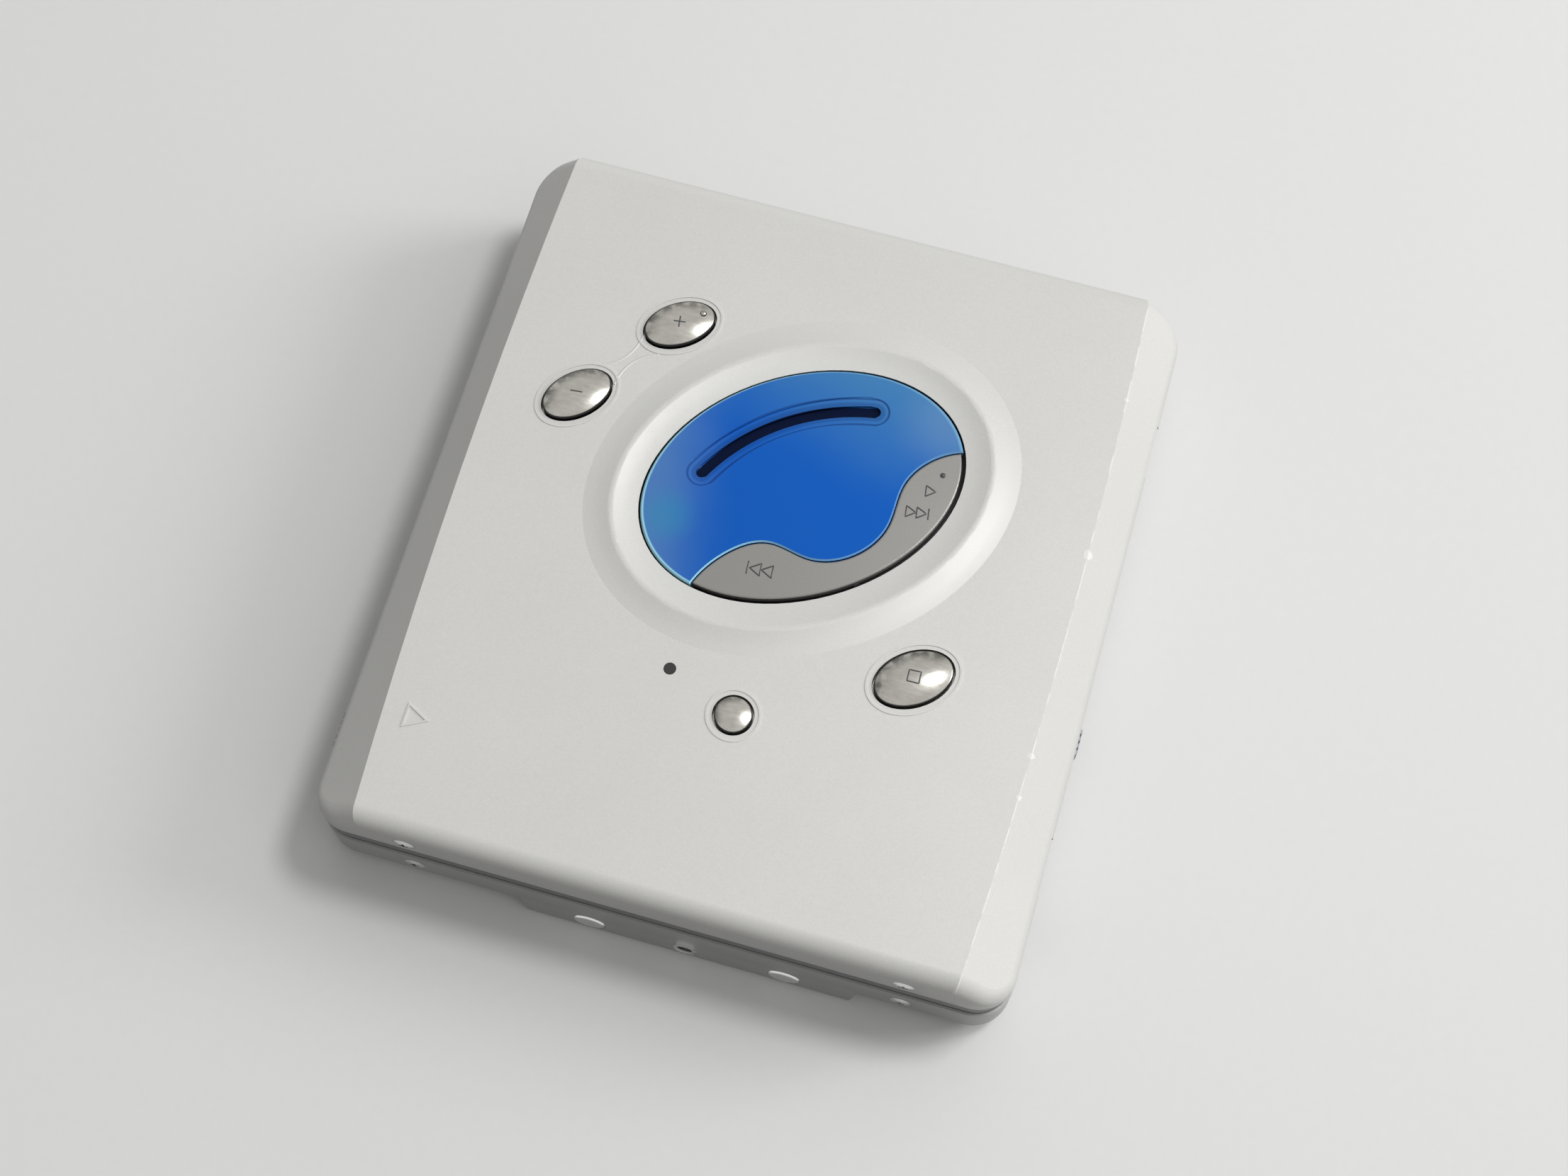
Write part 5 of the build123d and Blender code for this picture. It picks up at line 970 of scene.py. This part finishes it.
class Shape:
    """Vertices and faces of one piece, gathered in millimetres."""

    RIB_FOOT, RIB_CREST = 0.5, 0.36  # half widths, as shares of the rib's width
    RIB_SINK, PIP_SINK = 0.06, 0.05  # how far the feet reach into the surface
    PIP_SIDES, PIP_RINGS = 20, 6
    STEP = 0.18  # the longest run between points of a path

    def __init__(self) -> None:
        """Starts empty."""
        self.points: list[Triple] = []
        self.faces: list[tuple[int, ...]] = []

    def add_rib(self, path: Sequence[Point], width: float, lift: float, surface: HeightMap,
                closed: bool = False) -> None:
        """Adds a low rib that follows a path over a surface.

        Args:
            path: The rib's middle line in the plan.
            width: Its width.
            lift: How far it stands above the surface.
            surface: The surface's height at a point.
            closed: Whether the path ends where it starts.
        """
        section = ((-self.RIB_FOOT, -self.RIB_SINK), (-self.RIB_CREST, lift),
                   (self.RIB_CREST, lift), (self.RIB_FOOT, -self.RIB_SINK))
        fine = self._divided(path, closed)
        start, count, size = len(self.points), len(fine), len(section)
        for index, (x, y) in enumerate(fine):
            before = fine[index - 1] if index or closed else fine[0]
            after = fine[(index + 1) % count] if index < count - 1 or closed else fine[-1]
            run = hypot(after[0] - before[0], after[1] - before[1]) or 1.0
            across = (-(after[1] - before[1]) / run, (after[0] - before[0]) / run)
            for side, rise in section:
                px, py = x + across[0] * side * width, y + across[1] * side * width
                self.points.append((px, py, surface(px, py) + rise))
        for index in range(count if closed else count - 1):
            low, high = start + size * index, start + size * ((index + 1) % count)
            for step in range(size - 1):
                self.faces.append((low + step, high + step, high + step + 1, low + step + 1))
        if not closed:
            last = start + size * (count - 1)
            self.faces.append(tuple(range(start, start + size)))
            self.faces.append(tuple(reversed(range(last, last + size))))

    @classmethod
    def _divided(cls, path: Sequence[Point], closed: bool) -> list[Point]:
        """Divides a path so that it can follow a curved surface.

        Args:
            path: The path's corners.
            closed: Whether it ends where it starts.

        Returns:
            The finer path.
        """
        corners = list(path) + ([path[0]] if closed else [])
        fine: list[Point] = []
        for (ax, ay), (bx, by) in zip(corners, corners[1:]):
            parts = max(1, round(hypot(bx - ax, by - ay) / cls.STEP))
            fine += [(ax + (bx - ax) * i / parts, ay + (by - ay) * i / parts) for i in range(parts)]
        return fine if closed else fine + [corners[-1]]

    def add_pip(self, pip: Pip, surface: HeightMap) -> None:
        """Adds a small dome on a surface.

        Args:
            pip: Its place and size.
            surface: The surface's height at a point.
        """
        sides, rings, start = self.PIP_SIDES, self.PIP_RINGS, len(self.points)
        (middle_x, middle_y), radius, height = pip
        ground = surface(middle_x, middle_y)
        for ring in range(rings):
            turn = pi / 2 * ring / rings
            reach, rise = radius * cos(turn), height * sin(turn)
            sink = 0.0 if ring else self.PIP_SINK
            for side in range(sides):
                way = 2 * pi * side / sides
                x, y = middle_x + reach * cos(way), middle_y + reach * sin(way)
                self.points.append((x, y, ground + rise - sink))
        self.points.append((middle_x, middle_y, ground + height))
        for ring in range(rings - 1):
            for side in range(sides):
                a, b = start + ring * sides + side, start + ring * sides + (side + 1) % sides
                self.faces.append((a, b, b + sides, a + sides))
        top, last = start + rings * sides, start + (rings - 1) * sides
        self.faces += [(last + side, last + (side + 1) % sides, top) for side in range(sides)]
        self.faces.append(tuple(reversed(range(start, start + sides))))

    def build(self, name: str, material: bpy.types.Material, body: str, slot: str) -> bpy.types.Object:
        """Makes the Blender object and lets it ride on its body.

        Args:
            name: The piece's name.
            material: Its material.
            body: The body it moves with.
            slot: The record's material slot; not used.

        Returns:
            The object.
        """
        mesh = bpy.data.meshes.new(name)
        mesh.from_pydata([Vector(point) * MM for point in self.points], [], self.faces)
        mesh.validate()
        mesh.update()
        mesh.polygons.foreach_set("use_smooth", [True] * len(mesh.polygons))
        clad(mesh, material)
        piece = put(name, mesh)
        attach(piece, body)
        log.info("piece %s rides on %s", name, body)
        return piece


class Mark(Enum):
    """Pictograms that the controls carry, each a list of strokes round its own middle."""

    PLUS = "plus"
    MINUS = "minus"
    SQUARE = "square"
    PLAY = "play"
    SKIP_BACK = "skip back"
    SKIP_AHEAD = "skip ahead"

    def strokes(self) -> list[tuple[list[Point], bool]]:
        """Lists the pictogram's strokes.

        Returns:
            The points of each stroke, and whether it is closed.
        """
        arrow = [(-0.42, -0.5), (0.42, 0.0), (-0.42, 0.5)]
        ahead = [([(x + shift, y) for x, y in arrow], True) for shift in (-0.5, 0.4)]
        ahead.append(([(0.98, -0.5), (0.98, 0.5)], False))
        level = ([(-0.6, 0.0), (0.6, 0.0)], False)
        return {
            Mark.PLUS: [level, ([(0.0, -0.6), (0.0, 0.6)], False)],
            Mark.MINUS: [level],
            Mark.SQUARE: [([(-0.5, -0.5), (0.5, -0.5), (0.5, 0.5), (-0.5, 0.5)], True)],
            Mark.PLAY: [(arrow, True)],
            Mark.SKIP_AHEAD: ahead,
            Mark.SKIP_BACK: [([(-x, y) for x, y in points], shut) for points, shut in ahead],
        }[self]


@dataclass(frozen=True)
class Drawing:
    """A pictogram where it stands: its middle, how far it is turned in degrees, and its size."""

    mark: Mark
    at: Point
    turn: float
    size: float
    stroke: float = 0.2
    lift: float = 0.012

    def draw(self, shape: Shape, surface: HeightMap) -> None:
        """Adds the pictogram's ribs to a shape.

        Args:
            shape: The shape to add to.
            surface: The surface that carries it.
        """
        c, s = cos(radians(self.turn)), sin(radians(self.turn))
        for points, shut in self.mark.strokes():
            path = [(self.at[0] + self.size * (x * c - y * s), self.at[1] + self.size * (x * s + y * c))
                    for x, y in points]
            shape.add_rib(path, self.stroke, self.lift, surface, shut)


# ---- Sub-assemblies ----
@dataclass
class Dressing:
    """A group of CAD nodes with the finish that each one gets."""

    palette: Palette
    finishes: dict[str, Finish] = field(default_factory=dict)

    def dress(self) -> None:
        """Gives every node of the group its material."""
        for node, finish in self.finishes.items():
            clad(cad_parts[node].data, self.palette.get(finish))
            log.info("node %s is dressed with %s", node, finish.name)


@dataclass
class LidShell(Dressing):
    """The lid's moulding, what is fixed in it and the thin ribs on its top."""

    finishes: dict[str, Finish] = field(default_factory=lambda: {
        "lid_cover": LID_PAINT, "lid_liner": ZINC_SHEET, "lid_screws": NICKEL_SCREW,
        "switch_board": POLYIMIDE, "switch_domes": PLATED_BRASS, "led_lens": SMOKED_LIGHT,
    })
    bridge_width: float = 0.34
    bridge_rise: float = 0.012
    bridge_ends: Span = (0.28, 0.72)
    bridge_waist: float = 0.5
    bridge_flare: float = 0.95
    bridge_runs: int = 20

    def volume_bridge(self) -> bpy.types.Object:
        """Joins the raised lines round the two volume buttons with a waisted pair of ribs.

        Returns:
            The ribs as one object.
        """
        shape = Shape()
        run = (VOL_UP.x - VOL_DOWN.x, VOL_UP.y - VOL_DOWN.y)
        length = hypot(*run)
        along = (run[0] / length, run[1] / length)
        across = (-along[1], along[0])
        first, last = self.bridge_ends[0] * length, self.bridge_ends[1] * length
        for side in (-1.0, 1.0):
            path = []
            for step in range(self.bridge_runs + 1):
                t = step / self.bridge_runs
                off = (self.bridge_waist + self.bridge_flare * (2 * t - 1) ** 2) * side
                d = first + (last - first) * t
                path.append((VOL_DOWN.x + along[0] * d + across[0] * off,
                             VOL_DOWN.y + along[1] * d + across[1] * off))
            shape.add_rib(path, self.bridge_width, self.bridge_rise, lambda x, y: LID_TOP)
        return shape.build("volume_bridge", self.palette.get(LID_PAINT), "lid", "silver_paint")


@dataclass
class Dial(Dressing):
    """The window and the crescent rocker key with its pictograms."""

    finishes: dict[str, Finish] = field(default_factory=lambda: {
        "display_window": DIAL_TINT, "rocker_key": KEY_SILVER,
    })
    crown: float = 0.5
    proud: float = 0.05
    skin: float = 0.03
    slit_floor: float = 16.7
    slit_room: float = 1.9
    slit_fade: float = 1.3
    drawings: tuple[Drawing, ...] = (
        Drawing(Mark.SKIP_BACK, (0.7, -2.75), 4.0, 1.4),
        Drawing(Mark.PLAY, (15.55, 10.75), 8.0, 1.26),
        Drawing(Mark.SKIP_AHEAD, (14.75, 8.0), 8.0, 1.26),
    )
    pip: Pip = Pip((16.3, 12.9), 0.3, 0.16)

    def surface(self, x: float, y: float) -> float:
        """Gives the height of the dial's shallow dome.

        Args:
            x: A point's X.
            y: Its Y.

        Returns:
            The height at that point.
        """
        radius = DIAL.long ** 2 / (2 * self.crown)
        reach = hypot(x - DIAL.x, y - DIAL.y)
        return LID_TOP + self.crown + self.proud - radius + sqrt(radius ** 2 - reach ** 2)

    def window(self) -> bpy.types.Object:
        """Makes the window with the true bow of its slit, to stand for the plainer solid.

        Returns:
            The window.
        """
        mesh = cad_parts["display_window"].data.copy()
        ox, oy = SLIT.outward()
        for vertex in mesh.vertices:
            x, y, z = (value / MM for value in vertex.co)
            along, off = SLIT.axes(x, y)
            if abs(along) > SLIT.half() or z < self.slit_floor:
                continue
            stray = abs(off - PLAIN_SLIT.height(along)) - self.slit_room
            share = 1 - min(1.0, max(0.0, stray / self.slit_fade))
            shift = (SLIT.height(along) - PLAIN_SLIT.height(along)) * share
            to = (x + ox * shift, y + oy * shift)
            ground = self.surface(x, y)
            rise = self.surface(*to) - ground if z > ground - self.skin else 0.0
            vertex.co = Vector((*to, z + rise)) * MM
        mesh.update()
        clad(mesh, self.palette.get(DIAL_TINT))
        piece = put("tinted_window", mesh)
        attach(piece, "lid")
        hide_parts("display_window")
        log.info("piece %s rides on %s", piece.name, "lid")
        return piece

    def key_marks(self) -> bpy.types.Object:
        """Draws the key's pictograms.

        Returns:
            The pictograms as one object.
        """
        shape = Shape()
        for drawing in self.drawings:
            drawing.draw(shape, self.surface)
        return shape.build("key_marks", self.palette.get(KEY_MARK), "rocker", "key_silver")

    def key_pip(self) -> bpy.types.Object:
        """Adds the key's tactile pip.

        Returns:
            The pip.
        """
        shape = Shape()
        shape.add_pip(self.pip, self.surface)
        return shape.build("key_pip", self.palette.get(MARK_GREY), "rocker", "key_silver")


@dataclass
class Buttons(Dressing):
    """The four domed buttons and their pictograms."""

    finishes: dict[str, Finish] = field(default_factory=lambda: {
        "vol_up_button": SMOKED_CHROME, "vol_down_button": SMOKED_CHROME,
        "stop_button": SMOKED_CHROME, "group_button": SMOKED_CHROME,
    })
    dome_radius: float = 6.5
    proud: float = 0.95
    pip: Pip = Pip(VOL_UP.at(2.75, 0.15), 0.36, 0.22)

    def crown(self, oval: Oval) -> HeightMap:
        """Gives the height function of a button's crown.

        Args:
            oval: The button's oval.

        Returns:
            The function of X and Y.
        """
        c, s = cos(radians(oval.tilt)), sin(radians(oval.tilt))

        def height(x: float, y: float) -> float:
            """Gives the crown's height.

            Args:
                x: A point's X.
                y: Its Y.

            Returns:
                The height at that point.
            """
            along = ((x - oval.x) * c + (y - oval.y) * s) * oval.short / oval.long
            across = (y - oval.y) * c - (x - oval.x) * s
            drop = self.dome_radius - sqrt(self.dome_radius ** 2 - along ** 2 - across ** 2)
            return LID_TOP + self.proud - drop

        return height

    def marks(self) -> list[bpy.types.Object]:
        """Draws the plus, minus and square.

        Returns:
            One object for each.
        """
        made = []
        plan = (("vol_up_mark", Mark.PLUS, VOL_UP, "vol_up", 8.0, 1.1),
                ("vol_down_mark", Mark.MINUS, VOL_DOWN, "vol_down", 5.0, 1.1),
                ("stop_mark", Mark.SQUARE, STOP, "stop", 2.0, 1.25))
        for name, mark, oval, body, turn, size in plan:
            shape = Shape()
            Drawing(mark, (oval.x, oval.y), turn, size).draw(shape, self.crown(oval))
            made.append(shape.build(name, self.palette.get(MARK_GREY), body, "chrome_button"))
        return made

    def volume_pip(self) -> bpy.types.Object:
        """Adds the tactile pip at the far end of the volume up button.

        Returns:
            The pip.
        """
        shape = Shape()
        shape.add_pip(self.pip, self.crown(VOL_UP))
        return shape.build("vol_up_pip", self.palette.get(SMOKED_CHROME), "vol_up", "chrome_button")


@dataclass
class Case(Dressing):
    """Bottom cover, frame, hinge, sockets, sliders and screws."""

    finishes: dict[str, Finish] = field(default_factory=lambda: {
        "bottom_cover": COVER_PAINT, "mid_frame": FRAME_PAINT, "battery_door": COVER_PAINT,
        "case_screws": NICKEL_SCREW, "hinge_pins": GROUND_STEEL, "door_pin": GROUND_STEEL,
        "headphone_jack": BLACK_PLASTIC, "hold_switch": BLACK_PLASTIC, "hold_knob": GREY_PLASTIC,
        "open_knob": GREY_PLASTIC, "latch_plate": ZINC_SHEET, "belly_terminals": NICKEL_SCREW,
        "threaded_socket": NICKEL_SCREW,
    })


@dataclass
class Drive(Dressing):
    """Deck, motors, turntable, sled, gears and holder."""

    finishes: dict[str, Finish] = field(default_factory=lambda: {
        "disc_holder": ZINC_SHEET, "deck_plate": ZINC_SHEET, "deck_dampers": SOFT_RUBBER,
        "deck_screws": NICKEL_SCREW, "locating_pins": BLACK_PLASTIC, "guide_shafts": GROUND_STEEL,
        "spindle_motor": DRAWN_CAN, "turntable": BLACK_PLASTIC, "chuck_magnet": MAGNET,
        "sled": BLACK_PLASTIC, "objective_lens": LENS, "sled_rack": WHITE_ACETAL,
        "feed_gear": WHITE_ACETAL, "feed_post": GROUND_STEEL, "drive_pinion": PLATED_BRASS,
        "feed_motor": DRAWN_CAN,
    })


@dataclass
class Electronics(Dressing):
    """Main board, chips, battery and its contacts."""

    finishes: dict[str, Finish] = field(default_factory=lambda: {
        "main_board": BOARD, "board_chips": CHIP_BLACK, "battery": WRAP,
        "battery_contact": PLATED_BRASS, "door_contact": PLATED_BRASS,
    })


# ---- Studio ----
@dataclass(frozen=True)
class Lamp:
    """One soft round lamp that looks at the player, in metres and watts."""

    name: str
    place: Triple
    size: float
    power: float

    def hang(self) -> None:
        """Hangs the lamp."""
        data = bpy.data.lights.new(self.name, "AREA")
        data.shape = "DISK"
        data.size = self.size
        data.energy = self.power
        lamp = put(self.name, data)
        lamp.location = self.place
        lamp.rotation_euler = (-Vector(self.place)).to_track_quat("-Z", "Y").to_euler()


@dataclass
class Studio:
    """Pale floor, soft lamps, even surroundings and the camera, in metres and degrees."""

    azimuth: float = 16.437
    elevation: float = 69.441
    roll: float = -0.416
    distance: float = 0.27424
    target: Point = (0.001803, 0.002222)
    lens: float = 56.39
    sensor: float = 36.0
    clip: float = 0.01
    floor_half: float = 1.6
    floor_colour: Colour = (0.80, 0.80, 0.79)
    floor_rough: float = 0.9
    floor_shine: float = 0.1
    fibre: Grain = Grain(0.8, 3.0)
    tone: float = 0.985
    fibre_tone: float = 0.03
    bounce: Colour = (0.15, 0.15, 0.147)
    floor_fade: Span = (350.0, 1300.0)  # in millimetres
    bright_sky: Colour = (0.77, 0.77, 0.76)
    dim_sky: Colour = (0.05, 0.05, 0.052)
    bright_side: Triple = (0.72, 0.36, 0.59)
    sky_fade: Span = (-0.35, 1.0)
    seen_sky: Colour = (0.82, 0.82, 0.81)
    lamps: tuple[Lamp, ...] = (
        Lamp("window_side", (0.70, 0.30, 0.42), 0.34, 2.5),
        Lamp("high_key", (0.28, 0.19, 0.73), 0.17, 1.9),
    )

    def lay_floor(self) -> bpy.types.Object:
        """Lays the paper floor under the player; it fades out far away.

        Returns:
            The floor.
        """
        on, half = Surface("floor_paper"), self.floor_half
        pale = on.shade(self.floor_colour, self.tone + on.noise(self.fibre) * self.fibre_tone)
        fade = 1 - on.length(on.x, on.y).smooth(*self.floor_fade)
        paper = on.close(Base_Color=on.mix(on.seen(), self.bounce, pale), Roughness=self.floor_rough,
                         Specular_IOR_Level=self.floor_shine, Alpha=fade)
        mesh = bpy.data.meshes.new("floor")
        corners = [(-half, -half, 0.0), (half, -half, 0.0), (half, half, 0.0), (-half, half, 0.0)]
        mesh.from_pydata([Vector(corner) for corner in corners], [], [(0, 1, 2, 3)])
        clad(mesh, paper)
        floor = put("floor", mesh)
        return floor

    def fill_world(self) -> None:
        """Surrounds the scene with a soft sky, bright on one side; cameras and mirrors see it pale."""
        world = bpy.data.worlds.new("studio_world")
        bpy.context.scene.world = world
        graph = Graph(world)
        way = graph.ask("ShaderNodeTexCoord", output="Generated")
        side = graph.ask("ShaderNodeVectorMath", {0: way, 1: self.bright_side}, "Value",
                         operation="DOT_PRODUCT")
        sky = graph.mix(side.smooth(*self.sky_fade), self.dim_sky, self.bright_sky)
        colour = graph.mix(graph.seen(), sky, self.seen_sky)
        shader = graph.ask("ShaderNodeBackground", {"Color": colour})
        graph.node("ShaderNodeOutputWorld", {"Surface": shader})

    def set_camera(self) -> None:
        """Puts the camera where it looks down on the player from its near side."""
        az, el, roll = radians(self.azimuth), radians(self.elevation), radians(self.roll)
        back = Vector((sin(az) * cos(el), -cos(az) * cos(el), sin(el)))
        right = Vector((cos(az), sin(az), 0.0))
        up = back.cross(right)
        right, up = cos(roll) * right + sin(roll) * up, cos(roll) * up - sin(roll) * right
        data = bpy.data.cameras.new("camera")
        data.lens = self.lens
        data.sensor_width = self.sensor
        data.clip_start = self.clip
        camera = put("camera", data)
        place = Matrix.Translation(Vector((*self.target, 0.0)) + back * self.distance)
        camera.matrix_world = place @ Matrix((right, up, back)).transposed().to_4x4()
        bpy.context.scene.camera = camera

    def build(self) -> None:
        """Builds floor, world, lamps and camera."""
        self.lay_floor()
        self.fill_world()
        for lamp in self.lamps:
            lamp.hang()
        self.set_camera()
        bpy.context.scene.view_settings.view_transform = "Standard"


def main() -> None:
    """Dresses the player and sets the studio."""
    logging.basicConfig(level=logging.INFO, format="%(name)s: %(message)s")
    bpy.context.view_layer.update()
    palette = Palette()
    shell, dial, buttons = LidShell(palette), Dial(palette), Buttons(palette)
    for group in (shell, dial, buttons, Case(palette), Drive(palette), Electronics(palette)):
        group.dress()
    shell.volume_bridge()
    dial.window()
    dial.key_marks()
    dial.key_pip()
    buttons.marks()
    buttons.volume_pip()
    Studio().build()


if __name__ == "__main__":
    main()
